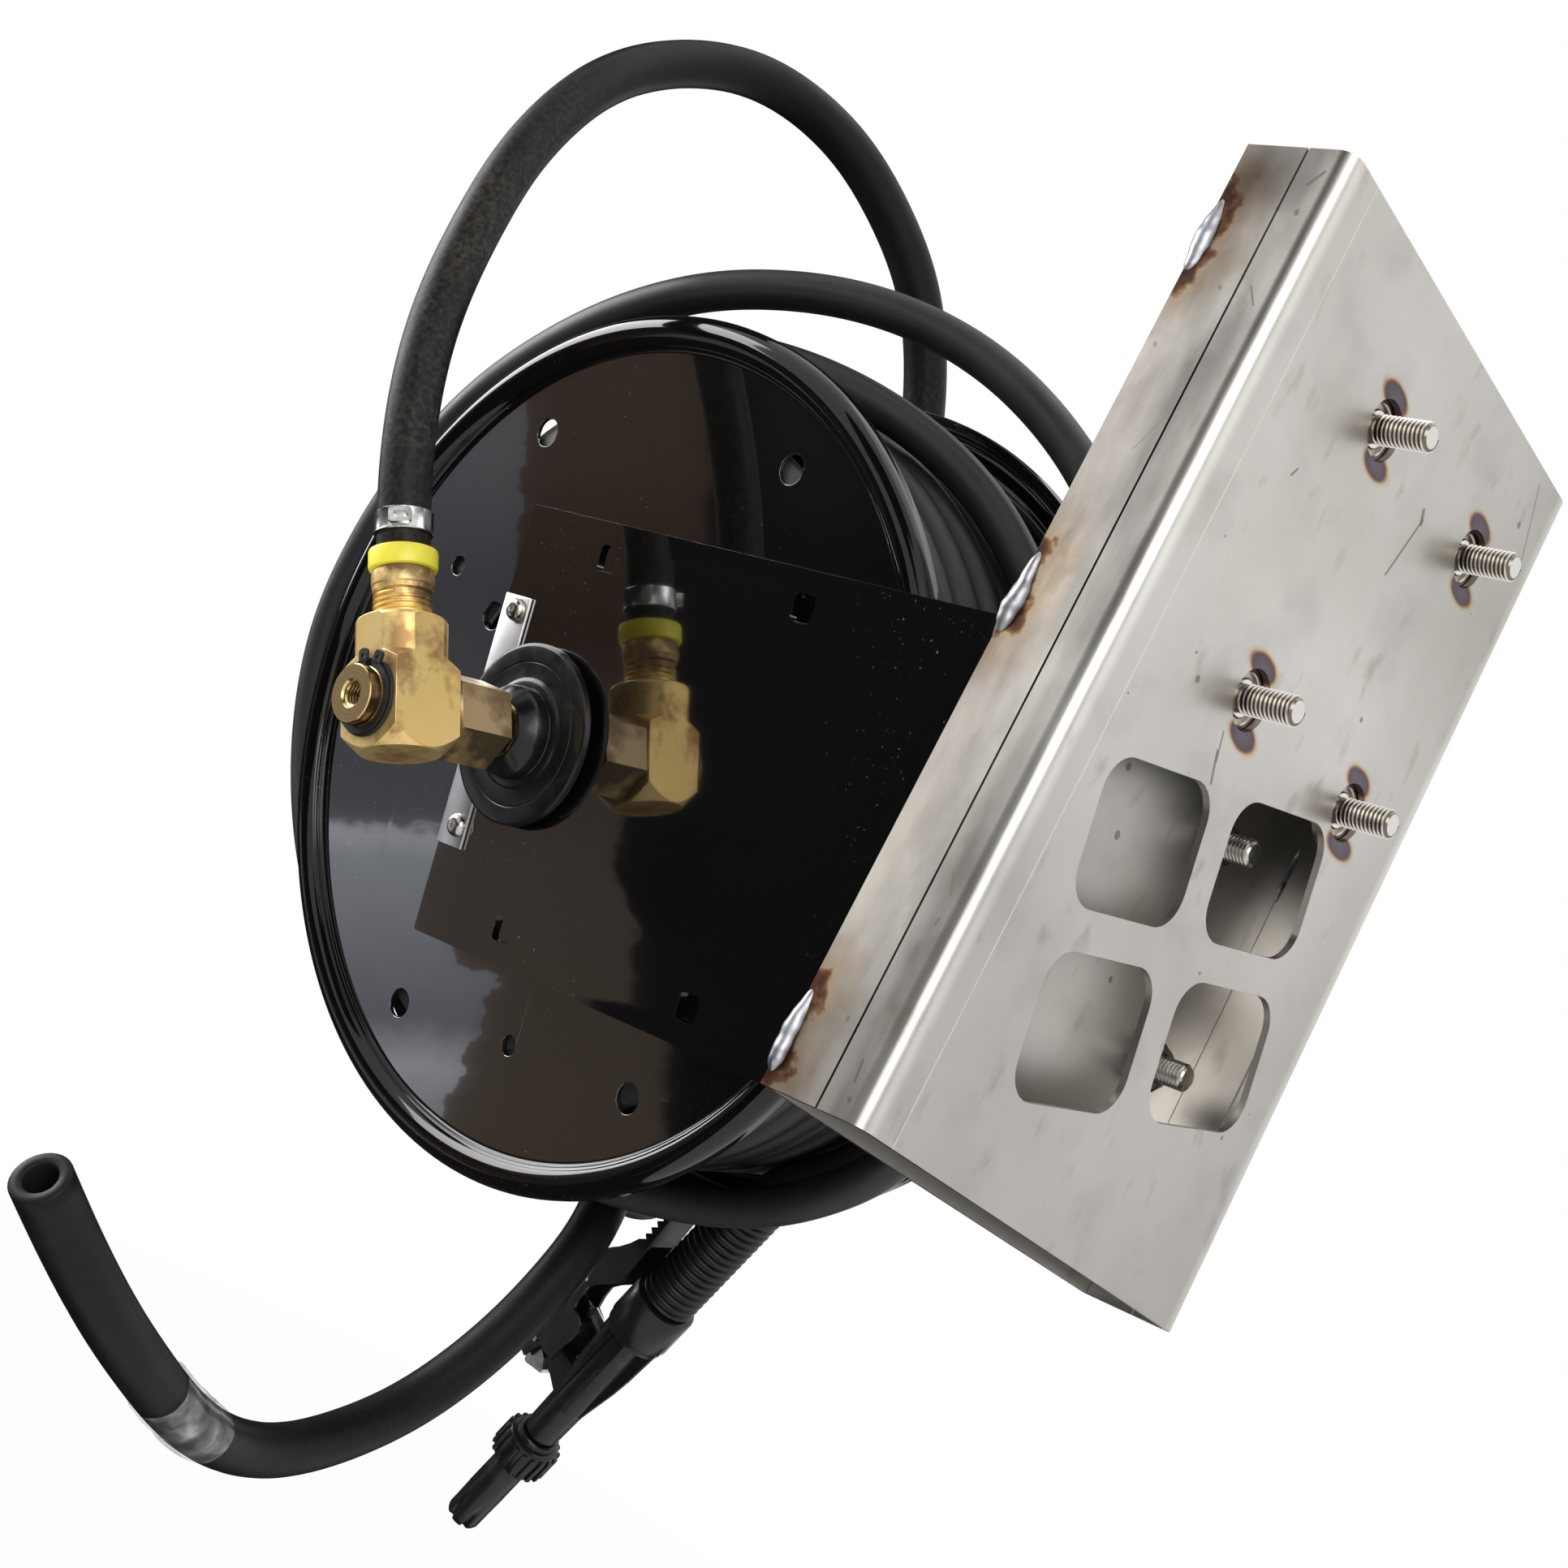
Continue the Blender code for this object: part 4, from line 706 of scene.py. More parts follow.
    # A scribed line down the face, and small pits and specks all over.
    scribe = finish.math("LESS_THAN", finish.size(finish.less(x, 0.1255)), 0.00030)
    scribe = finish.times(finish.times(scribe, front), patch)
    color = finish.mix(scribe, color, (0.86, 0.82, 0.74))
    specks = finish.node("ShaderNodeTexVoronoi", (), {"Vector": finish.place, "Scale": 55.0})
    size = finish.ramp(finish.noise(60, 1, shift=(5, 5, 5)), (0.50, 0.0), (0.70, 0.11))
    speck = finish.math("LESS_THAN", specks.outputs["Distance"], size)
    color = finish.mix(finish.times(speck, 0.70), color, (0.16, 0.13, 0.11))
    smudge = finish.ramp(finish.noise(70, 6, stretch=(1, 1, 0.5), shift=(8, 2, 6)),
                         (0.60, (1, 1, 1)), (0.72, (0.80, 0.77, 0.74)))
    color = finish.tint(color, smudge)
    for start, end, width in SCRATCHES:
        start, end = Vector(start) * MM, Vector(end) * MM
        way = end - start
        offset = finish.vector("SUBTRACT", 0, finish.place, start)
        share = finish.vector("DOT_PRODUCT", "Value", offset, way / way.length_squared)
        share = finish.node("ShaderNodeClamp", (), {"Value": share}).outputs[0]
        nearest = finish.node("ShaderNodeVectorMath", {"operation": "SCALE"},
                              {0: way, "Scale": share}).outputs[0]
        gap = finish.vector("DISTANCE", "Value", offset, nearest)
        mask = finish.ramp(finish.math("DIVIDE", gap, width * MM), (0.45, 0.75), (1.0, 0.0))
        color = finish.mix(mask, color, (0.13, 0.11, 0.09))
    finish.set("Base Color", color)
    finish.set("Roughness", finish.ramp(cloud, (0.3, 0.38), (0.7, 0.30)))
    finish.bump(finish.noise(1.0, 2, stretch=(900, 900, 40)), 0.04, 0.05 * MM)
    return finish.material


MILL_STAINLESS = stainless()


def box_front():
    bend = BOX_BEND * math.pi / 2
    side = SEAM_DEPTH - BOX_BEND
    near, far = BOX_NEAR - BOX_BEND, BOX_FAR + BOX_BEND
    outlines = [[(near + bend + side, BOX_BOTTOM), (near + bend + side, BOX_TOP),
                 (far - bend - side, BOX_TOP), (far - bend - side, BOX_BOTTOM)]]
    cos, sin = math.cos(WINDOW_TURN), math.sin(WINDOW_TURN)
    width, height, corner = 0.0735, 0.0585, 0.015
    for column in (0.106, 0.0145):
        for row in (-0.111, -0.1855):
            centre = (column * cos + row * sin, -column * sin + row * cos)
            outlines.append(rounded_rectangle(width, height, corner, centre, WINDOW_TURN))
    for x in (STUD_ACROSS, -STUD_ACROSS):
        for z in (STUD_UP, -STUD_UP):
            outlines.append(arc((x, z), STUD_HOLE, 0, 352.5, 47))
    shape = blank(outlines)
    fold(shape, near, BOX_BEND, 1)
    fold(shape, far, BOX_BEND, -1)
    stand = Matrix(((1, 0, 0, 0), (0, 0, 1, 0), (0, 1, 0, 0), (0, 0, 0, 1)))
    bmesh.ops.transform(shape, matrix=stand, verts=shape.verts)
    bmesh.ops.reverse_faces(shape, faces=shape.faces)
    sheet_piece("box_front", shape, MILL_STAINLESS, "box_and_frame", "stainless",
                ["box_front_channel"], Matrix.Identity(4), SHEET)


box_front()


# Box back and sides. A flat plate and two strips of the same sheet close the box behind; the
# strips meet the folded front at an open seam, and stitch welds hold the back corners.
def finish_packed(material, *nodes):
    """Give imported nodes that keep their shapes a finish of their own."""
    for node in nodes:
        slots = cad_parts[node].data.materials
        slots.clear()
        slots.append(material)


finish_packed(MILL_STAINLESS, "box_back_plate", "box_side_strip_near", "box_side_strip_far")


def mottled(name, color, roughness, metallic, grain, tones, rough=None, bump=None):
    """A finish whose colour wanders through tones.

    Grain is a noise, rough a noise's scale and its stops, bump a noise, strength and distance.
    """
    finish = Finish(name, color, roughness, metallic)
    finish.set("Base Color", finish.ramp(finish.noise(*grain), *tones))
    if rough:
        finish.set("Roughness", finish.ramp(finish.noise(rough[0], 3), *rough[1:]))
    if bump:
        finish.bump(finish.noise(*bump[0]), *bump[1:])
    return finish.material


WELD_METAL = mottled("weld_metal", (0.42, 0.41, 0.43), 0.3, 1.0, (75, 3),
                     ((0.30, (0.17, 0.13, 0.11)), (0.42, (0.30, 0.30, 0.32)),
                      (0.62, (0.42, 0.43, 0.46)), (0.76, (0.36, 0.27, 0.20))),
                     (160, (0.35, 0.34), (0.7, 0.52)))


def weld_beads():
    for side, edge, sort in ((1, BOX_NEAR, "near"), (-1, BOX_FAR, "far")):
        for number, (height, half) in enumerate(((80.5, 17.0), (-79.0, 18.0), (-261.5, 17.0)), 1):
            shape = bmesh.new()
            bmesh.ops.create_uvsphere(shape, u_segments=40, v_segments=64, radius=1.0)
            for vert in shape.verts:
                x, y, z = vert.co
                ripple = 1 + 0.03 * math.sin(z * half * 0.9 + 2 * x)
                rough = noise.noise(Vector((x * 0.5 + number * 7, y * 0.5 + side * 3,
                                            z * half * 0.085)))
                fall = 1 - 0.25 * z
                vert.co = Vector((x * (4.3 + 1.2 * rough) * ripple * fall,
                                  y * (4.0 + 1.2 * rough) * ripple * fall, z * half)) * MM
            place = Matrix.Translation((edge - side * 1.2 * MM, -0.0470, height * MM))
            piece(f"stitch_weld_{sort}_{number}", shape, WELD_METAL, "box_and_frame",
                  "stud_steel", f"weld_bead_{sort}_{number}", place=place, sharp=80)


weld_beads()


# Studs and bolts. Four half-inch studs stand out of the box's face on round flanges behind
# oversize holes; four bolts come through the back plate from the reel's feet into nuts.
PLATED_STEEL = mottled("plated_steel", (0.60, 0.575, 0.545), 0.2, 1.0, (160, 4),
                       ((0.32, (0.40, 0.37, 0.33)), (0.55, (0.62, 0.60, 0.57)),
                        (0.75, (0.70, 0.68, 0.65))),
                       (90, (0.3, 0.16), (0.7, 0.32)), ((700, 3), 0.10, 0.05 * MM))
DARK_STEEL = mottled("dark_steel", (0.16, 0.15, 0.15), 0.38, 1.0, (200, 4),
                     ((0.35, (0.07, 0.065, 0.065)), (0.7, (0.30, 0.29, 0.28))),
                     bump=((500, 3), 0.15, 0.08 * MM))


def stud_steel():
    """Thread crests painted light over roots painted dark, and a flange darkened round its recess,
    by distance from the axis: painted highlight and painted shade, with some real stain on the
    flange.
    """
    finish = Finish("stud_steel", (0.70, 0.68, 0.64), 0.2, 1.0)
    x, _, z = finish.axes()
    spread = finish.spread(finish.less(finish.size(x), STUD_ACROSS),
                           finish.less(finish.size(z), STUD_UP))
    # Painted shade in the thread roots and round the flange's recess, and painted highlight on the
    # crests.
    finish.set("Base Color", finish.ramp(
        finish.times(spread, 50.0), (0.215, (0.70, 0.68, 0.65)),
        (0.235, (0.16, 0.14, 0.11)), (0.280, (0.22, 0.19, 0.155)), (0.305, (0.80, 0.77, 0.72)),
        (0.360, (0.80, 0.77, 0.72)), (0.380, (0.34, 0.29, 0.22)), (0.52, (0.50, 0.46, 0.40)),
        (0.56, (0.13, 0.10, 0.08)), (0.66, (0.30, 0.25, 0.20))))
    finish.set("Roughness", finish.ramp(finish.noise(90, 3), (0.3, 0.16), (0.7, 0.26)))
    return finish.material


STUD_STEEL = stud_steel()
ALONG_Y = Matrix.Rotation(-math.pi / 2, 4, "X")
ALONG_X = Matrix.Rotation(math.pi / 2, 4, "Y")


def lathe(shape, profile, steps=64, ring=False):
    """Spin a profile of (radius, height) in millimetres about Z."""
    verts = [shape.verts.new((radius * MM, 0, height * MM)) for radius, height in profile]
    pairs = list(zip(verts, verts[1:]))
    if ring:
        pairs.append((verts[-1], verts[0]))
    edges = [shape.edges.new(pair) for pair in pairs]
    bmesh.ops.spin(shape, geom=verts + edges, cent=(0, 0, 0), axis=(0, 0, 1),
                   angle=2 * math.pi, steps=steps, use_merge=True)
    bmesh.ops.remove_doubles(shape, verts=shape.verts, dist=0.0005 * MM)


def turned(profile, steps=64, ring=False):
    """A new shape spun from a profile."""
    shape = bmesh.new()
    lathe(shape, profile, steps, ring)
    return shape


def screw_thread(shape, radius, depth, pitch, low, high, inside=False, steps=24):
    """A helical ridge from low to high, faded out at both ends, in millimetres."""
    side = -1 if inside else 1
    root = radius - side * depth
    section = ((root - side * 0.25, -0.46 * pitch), (radius, -0.07 * pitch),
               (radius, 0.07 * pitch), (root - side * 0.25, 0.46 * pitch))
    verts = [shape.verts.new((r * MM, 0, (low + h) * MM)) for r, h in section]
    edges = [shape.edges.new(pair) for pair in zip(verts, verts[1:] + verts[:1])]
    turns = (high - low) / pitch
    count = max(8, round(turns * steps))
    bmesh.ops.spin(shape, geom=verts + edges, cent=(0, 0, 0), axis=(0, 0, 1),
                   dvec=(0, 0, (high - low) * MM / count), angle=turns * 2 * math.pi,
                   steps=count)
    fresh = [vert for vert in shape.verts if vert.is_boundary or vert.is_manifold]
    for vert in fresh:
        height = vert.co.z / MM
        fade = min((height - low) / pitch + 0.46, (high - height) / pitch + 0.46, 0.5) / 0.5
        spread = math.hypot(vert.co.x, vert.co.y) / MM
        if side * (spread - root) > 0 and -0.5 <= fade < 1:
            target = root + (spread - root) * max(fade, 0.0)
            vert.co.x *= target / spread
            vert.co.y *= target / spread


def threaded_rod(radius, depth, pitch, low, high, end, below):
    """A threaded rod whose plain profile carries on from below."""
    thread = bmesh.new()
    screw_thread(thread, radius, depth, pitch, low, high)
    core = radius - depth
    lathe(thread, [(0, end), (core - 0.7, end), (core, end - 0.8)] + below, 48)
    return thread


def studs_and_bolts():
    stud, stud_depth, stud_pitch = 6.35, 1.05, 1.954
    bolt, bolt_depth, bolt_pitch = 6.0, 0.9, 1.75
    core = stud - stud_depth
    for number, (side, level) in enumerate(((1, 1), (-1, 1), (1, -1), (-1, -1)), 1):
        shape = threaded_rod(stud, stud_depth, stud_pitch, -2.0, 20.6, 21.4, [
            (core, -3.6), (7.6, -3.7), (8.2, -4.2), (10.4, -4.2), (11.0, -3.6), (16.4, -3.6),
            (17.0, -4.2), (17.0, -6.4), (16.4, -7.0), (0, -7.0)])
        place = Matrix.Translation((side * STUD_ACROSS, 0, level * STUD_UP)) @ ALONG_Y
        piece(f"threaded_stud_{number}", shape, STUD_STEEL, "box_and_frame", "stud_steel",
              f"mounting_stud_{number}", place=place)
    number = 0
    head, core = -53.1, bolt - bolt_depth
    for across in (124.7, -4.8):
        for up in (-101.5, -199.0):
            number += 1
            shape = threaded_rod(bolt, bolt_depth, bolt_pitch, -45.0, -23.4, -22.4, [
                (core, -45.5), (bolt, -46.0), (bolt, head), (10.0, head), (10.5, head - 0.5),
                (10.2, head - 3.2), (8.6, head - 5.2), (5.0, head - 6.4), (0, head - 6.5)])
            place = REEL @ Matrix.Translation((across * MM, 0, up * MM)) @ ALONG_Y
            piece(f"foot_bolt_{number}", shape, PLATED_STEEL, "box_and_frame", "stud_steel",
                  f"base_bolt_{number}", place=place)
            piece(f"foot_nut_{number}", hex_nut(10.6, 6.4, 9.0), DARK_STEEL, "box_and_frame",
                  "stud_steel", f"base_nut_{number}",
                  place=REEL @ Matrix.Translation((across * MM, -40.5 * MM, up * MM)) @ ALONG_Y)


def grow_rings(shape, loop, verts, rings):
    """Grow a round loop through rings of (radius, height), where a hexagon is by its flats."""
    for index, (spread, level, is_hex) in enumerate(rings):
        if index:
            grown = bmesh.ops.extrude_edge_only(shape, edges=loop)["geom"]
            loop, verts = edges_of(grown), verts_of(grown)
        for vert in verts:
            turn = math.atan2(vert.co.y, vert.co.x)
            sector = (turn + math.pi / 6) % (math.pi / 3) - math.pi / 6
            here = spread / math.cos(sector) if is_hex else spread
            vert.co = Vector((here * math.cos(turn), here * math.sin(turn), level)) * MM
    return loop


def hex_nut(radius, bore, height):
    """A hexagon nut with turned corners, centred on its middle."""
    shape = bmesh.new()
    flat = radius * math.cos(math.pi / 6)
    rings = ((bore, -height / 2, 0), (flat * 0.94, -height / 2, 0),
             (flat, -height / 2 + 1.2, 1), (flat, height / 2 - 1.2, 1),
             (flat * 0.94, height / 2, 0), (bore, height / 2, 0))
    verts = bmesh.ops.create_circle(shape, segments=48, radius=bore * MM)["verts"]
    first = list({edge for vert in verts for edge in vert.link_edges})
    last = grow_rings(shape, first, verts, rings)
    bmesh.ops.bridge_loops(shape, edges=first + last)
    return shape


studs_and_bolts()


# Uprights. Two 4 mm plates, punched with four square holes and folded into a foot, in thick
# gloss black powder paint that mirrors the brass and the studio.
def gloss_black(name, peel, inner, outer, coat):
    black = (0.0035, 0.0030, 0.0028)
    finish = Finish(name, black, 0.07)
    finish.set("IOR", inner)
    finish.set("Coat Weight", coat)
    finish.set("Coat Roughness", 0.02)
    finish.set("Coat IOR", outer)
    dust = finish.ramp(finish.noise(700, 2, shift=(2, 8, 3)), (0.70, 0.0), (0.78, 1.0))
    area = finish.ramp(finish.noise(9, 3, shift=(1, 5, 9)), (0.5, 0.0), (0.66, 1.0))
    amount = finish.times(finish.times(dust, area), 0.5)
    finish.set("Base Color", finish.mix(amount, black, (0.42, 0.38, 0.33)))
    finish.bump(finish.noise(95, 2), peel, 0.2 * MM)
    return finish.material


GLOSS_BLACK = gloss_black("gloss_black", 0.022, 1.75, 2.0, 1.0)
UPRIGHT_NEAR, REEL_MIDDLE = 166.7, 62.2
UPRIGHT_EDGE, UPRIGHT_HALF = -321.2, 98.5


def upright(name, node, side):
    start, bend_radius, foot, corner = -55.8, 7.0, 55.0, 1.5
    low, high = AXIS_UP - UPRIGHT_HALF, AXIS_UP + UPRIGHT_HALF
    end = start + bend_radius * math.pi / 2 + foot
    if side > 0:
        neck = 22.5
        mouth = arc((AXIS_OUT, AXIS_UP), neck, -90, 90, 30)
        edge = [(UPRIGHT_EDGE, AXIS_UP + neck)] + mouth[::-1] + [
            (UPRIGHT_EDGE, AXIS_UP - neck)]
        outline = edge + arc((UPRIGHT_EDGE + corner, low + corner), corner, 180, 270, 4)
        outline += arc((end - corner, low + corner), corner, 270, 360, 4)
        outline += arc((end - corner, high - corner), corner, 0, 90, 4)
        outline += arc((UPRIGHT_EDGE + corner, high - corner), corner, 90, 180, 4)
        holes = []
    else:
        middle = ((UPRIGHT_EDGE + end) / 2, AXIS_UP)
        outline = rounded_rectangle(end - UPRIGHT_EDGE, high - low, corner, middle, count=4)
        holes = [arc((AXIS_OUT, AXIS_UP), 12.6, 0, 352.5, 47)]
    for y in (-264.7, -147.3):
        for up in (AXIS_UP + 82.8, AXIS_UP - 82.8):
            holes.append(rounded_rectangle(11.4, 11.4, 2.2, (y, up), count=5))
    shape = blank([[(x * MM, y * MM) for x, y in outline]]
                  + [[(x * MM, y * MM) for x, y in hole] for hole in holes])
    fold(shape, start * MM, bend_radius * MM, 1)
    outer = UPRIGHT_NEAR if side > 0 else 2 * REEL_MIDDLE - UPRIGHT_NEAR
    stand = Matrix(((0, 0, side, outer * MM), (1, 0, 0, 0), (0, 1, 0, 0), (0, 0, 0, 1)))
    if side < 0:
        bmesh.ops.reverse_faces(shape, faces=shape.faces)
    sheet_piece(name, shape, GLOSS_BLACK, "box_and_frame", "black_paint", [node],
                REEL @ stand, 4.0 * MM, 0.7 * MM)


upright("near_side_plate", "near_upright", 1)
upright("far_side_plate", "far_upright", -1)


# Discs. Two pressed discs with rolled rims, punched for lightness, in the same black paint.
# They turn with the barrel between them.
SPOOL = REEL @ Matrix.Translation((0, AXIS_OUT * MM, AXIS_UP * MM))
DISC_STEPS = 192
DISC_FACE, DISC_WALL = 134.5, 2.2


def disc_holes():
    holes = [(158.5, angle, 6.7) for angle in (60, 120, 240, 300)]
    holes += [(97.0, angle, 6.7) for angle in (150, 30, 270)]
    holes += [(136.0, angle, 4.6) for angle in (150, 30, 270)]
    return [((-radius * math.sin(math.radians(angle + 2.0)),
              radius * math.cos(math.radians(angle + 2.0))), size)
            for radius, angle, size in holes]


RIM_BLACK = gloss_black("rim_black", 0.03, 1.36, 1.40, 0.3)


def disc(name, node, face, side):
    flat = 181.0
    ring = arc((0, 0), flat * MM, 0, 360 - 360 / DISC_STEPS, DISC_STEPS - 1)
    holes = [arc((x * MM, y * MM), size * MM, 0, 345, 23) for (x, y), size in disc_holes()]
    centre = arc((0, 0), 14.0 * MM, 0, 352.5, 47)
    shape = blank([ring, centre] + holes)
    rim = bmesh.new()
    fillet = arc((flat, 2.4), 2.4, 270, 350, 6)
    roll = arc((190.3, 0.2), 7.5, 158, -8, 22)
    lathe(rim, fillet + roll + [(197.8, -3.4)], DISC_STEPS)
    join(shape, rim)
    bmesh.ops.remove_doubles(shape, verts=shape.verts, dist=0.02 * MM)
    bmesh.ops.recalc_face_normals(shape, faces=shape.faces)
    if sum(f.normal.z * f.calc_area() for f in shape.faces) < 0:
        bmesh.ops.reverse_faces(shape, faces=shape.faces)
    for patch in shape.faces:
        middle = patch.calc_center_median()
        patch.material_index = int(math.hypot(middle.x, middle.y) > 180.9 * MM
                                   and len(patch.verts) < 12)
    for edge in shape.edges:
        spread = [math.hypot(vert.co.x, vert.co.y) for vert in edge.verts]
        level = [abs(vert.co.z) for vert in edge.verts]
        if max(level) < 0.001 * MM and min(spread) > (flat - 0.05) * MM:
            edge.smooth = False
    lay = ALONG_X if side > 0 else Matrix.Scale(-1, 4, (1, 0, 0)) @ ALONG_X
    if side < 0:
        bmesh.ops.reverse_faces(shape, faces=shape.faces)
    place = SPOOL @ Matrix.Translation((face * MM, 0, 0)) @ lay
    bmesh.ops.transform(shape, matrix=place, verts=shape.verts)
    made = new_object(name, shape, GLOSS_BLACK, RIM_BLACK)
    for polygon in made.data.polygons:
        polygon.use_smooth = True
    thicken(made, DISC_WALL * MM, 0.35 * MM)
    declare(made, "spool", "black_paint", node)


disc("pressed_disc_near", "near_disc", DISC_FACE, 1)
disc("pressed_disc_far", "far_disc", 2 * REEL_MIDDLE - DISC_FACE, -1)


# Wound hose. The outer layer lies in one even helix round the drum; the layers under it are
# a plain core that shows only as dark rubber in the grooves.
def wound_hose():
    hose, gap = 9.1, 1.2
    low = 2 * REEL_MIDDLE - DISC_FACE + DISC_WALL + hose + gap
    pitch, radius, turns, per_turn = 18.9, 172.0, 6.25, 72
    count = round(turns * per_turn)
    route = []
    for step in range(count + 1):
        turn = 2 * math.pi * step / per_turn
        route.append(SPOOL @ (Vector((low + pitch * step / per_turn, radius * math.cos(turn),
                                      radius * math.sin(turn))) * MM))
    ends = []
    for step, way in ((0, -1), (count, 1)):
        turn = 2 * math.pi * step / per_turn
        tangent = Vector((pitch / (2 * math.pi), -radius * math.sin(turn),
                          radius * math.cos(turn))).normalized()
        straight = SPOOL.to_3x3() @ tangent * way * (2 * hose) * MM
        ends.append(route[0 if step == 0 else -1] + straight)
    route = [ends[0]] + route + [ends[1]]
    shape = tube_mesh("wound_hose_layer", route, HOSE_RADIUS, 22, True)
    piece("wound_hose_layer", shape, HOSE_RUBBER, "spool", "black_rubber", "wound_hose",
          sharp=60)
    core = bmesh.new()
    radius = 160.9
    near, far = 132.0, -7.6
    profile = [(100.4, near), (radius - 2, near), (radius, near - 2)]
    level, step, groove = near - 2, pitch / 4, 2.2
    while level - step > far + 2:
        level -= step
        profile.append((radius - (groove if round((near - 2 - level) / step) % 2 else 0.0), level))
    profile += [(radius, far + 2), (radius - 2, far), (100.4, far)]
    lathe(core, profile, 96, ring=True)
    piece("wound_hose_core", core, HOSE_RUBBER, "spool", "black_rubber", "hose_inner_layers",
          place=SPOOL @ ALONG_X, sharp=60)


wound_hose()


# Hub. A moulded black bush slides into the upright's slot and carries the axle; an aluminium
# strip across the slot, held by two button-head screws, keeps it in.
def moulded_black(name, color, roughness, bump):
    finish = Finish(name, color, roughness)
    worn = finish.noise(120, 4)
    finish.set("Roughness", finish.ramp(worn, (0.3, roughness - 0.08), (0.7, roughness + 0.10)))
    finish.set("Base Color", finish.mix(finish.ramp(finish.noise(45, 4), (0.55, 0.0), (0.8, 1.0)),
                                        color, tuple(1.8 * part for part in color)))
    finish.set("Specular IOR Level", 0.34)
    finish.bump(finish.noise(620, 3), bump, 0.08 * MM)
    return finish.material


BUSH_BLACK = moulded_black("bush_black", (0.008, 0.008, 0.0085), 0.20, 0.08)
ALUMINIUM = mottled("bright_aluminium", (0.80, 0.79, 0.78), 0.32, 1.0, (60, 4),
                    ((0.35, (0.70, 0.69, 0.68)), (0.65, (0.84, 0.83, 0.82))),
                    bump=((1.0, 2, (1500, 60, 60)), 0.06, 0.05 * MM))


def bar(x, y, z, edge=0.0, segments=2):
    """A squared bar of a size in millimetres, with rounded edges if edge is given."""
    shape = bmesh.new()
    bmesh.ops.create_cube(shape, size=1.0)
    bmesh.ops.scale(shape, vec=(x * MM, y * MM, z * MM), verts=shape.verts)
    if edge:
        bmesh.ops.bevel(shape, geom=shape.edges, offset=edge * MM, segments=segments,
                        profile=0.5, affect="EDGES", material=-1)
    return shape


def hub_and_strip():
    shape = turned([(12.7, 185.4), (13.1, 187.8), (13.6, 188.3), (14.3, 188.3), (14.9, 187.9),
                    (19.3, 183.5), (20.0, 182.6), (20.4, 181.6), (20.5, 177.4), (20.3, 176.9),
                    (19.8, 176.5), (19.8, 175.8), (20.3, 175.4), (22.9, 175.3), (23.7, 175.0),
                    (24.3, 174.6), (25.0, 174.4), (31.3, 174.4), (31.6, 174.15), (32.1, 174.15),
                    (32.4, 174.4), (38.4, 174.4), (39.5, 174.1), (40.1, 173.6), (40.3, 172.8),
                    (40.3, 171.2), (39.8, 170.5), (38.8, 170.2), (22.0, 170.2), (22.0, 158.0),
                    (12.7, 158.0)], 128, ring=True)
    piece("moulded_hub", shape, BUSH_BLACK, "box_and_frame", "black_plastic", "hub_bush",
          place=SPOOL @ ALONG_X, sharp=28)
    strip = bar(1.4, 17, 115, 0.3, 3)
    piece("slot_strip", strip, ALUMINIUM, "box_and_frame", "aluminium", "retaining_strip",
          place=REEL @ Matrix.Translation(Vector((167.7, -312.5, AXIS_UP)) * MM))
    for number, (y, up) in enumerate(((-310.8, AXIS_UP + 51.2), (-309.4, AXIS_UP - 47.6)), 1):
        place = REEL @ Matrix.Translation(Vector((168.7, y, up)) * MM) @ ALONG_X
        piece(f"button_screw_{number}", button_screw(), PLATED_STEEL, "box_and_frame",
              "stud_steel", f"strip_screw_{number}", place=place, sharp=30)


def button_screw():
    """A button head with a hexagon socket, seated at z = 0, with its shank below."""
    shape = bmesh.new()
    verts = bmesh.ops.create_circle(shape, segments=48, radius=MM)["verts"]
    loop = list({edge for vert in verts for edge in vert.link_edges})
    bmesh.ops.edgeloop_fill(shape, edges=loop)
    rings = [(1.55, 1.3, 1), (1.55, 3.0, 1), (1.7, 3.2, 1), (2.7, 3.2, 0), (3.6, 2.95, 0),
             (4.4, 2.4, 0), (5.0, 1.5, 0), (5.3, 0.5, 0), (5.3, 0.0, 0), (2.6, 0.0, 0),
             (2.6, -11.0, 0), (1.8, -12.0, 0)]
    bmesh.ops.edgeloop_fill(shape, edges=grow_rings(shape, loop, verts, rings))
    return shape


hub_and_strip()


# Swivel. A square brass bar, turned at both ends, takes water from the hose at its top and
# rides on a brass shaft that turns with the spool; a black ring holds it on the shaft.
INLET = REEL @ Matrix.Translation(Vector((241.0, AXIS_OUT, AXIS_UP)) * MM) @ Matrix.Rotation(
    math.radians(23.0), 4, "X")


def brass(name, tarnish, brown, pale=(0.86, 0.59, 0.20), bright=(0.93, 0.70, 0.30)):
    finish = Finish(name, pale, 0.28, 0.72)
    stain = finish.noise(46, 6, shift=(7, 3, 5))
    fine = finish.noise(240, 4)
    mixed = finish.add(stain, finish.times(fine, 0.25))
    clean = finish.ramp(finish.noise(30, 3), (0.3, pale), (0.7, bright))
    finish.set("Base Color", finish.mix(
        finish.ramp(mixed, (tarnish, 0.0), (tarnish + 0.16, 1.0)), clean, brown))
    finish.set("Roughness", finish.ramp(mixed, (tarnish, 0.36), (tarnish + 0.2, 0.50)))
    finish.bump(finish.noise(1.0, 3, stretch=(60, 900, 900)), 0.05, 0.05 * MM)
    return finish.material


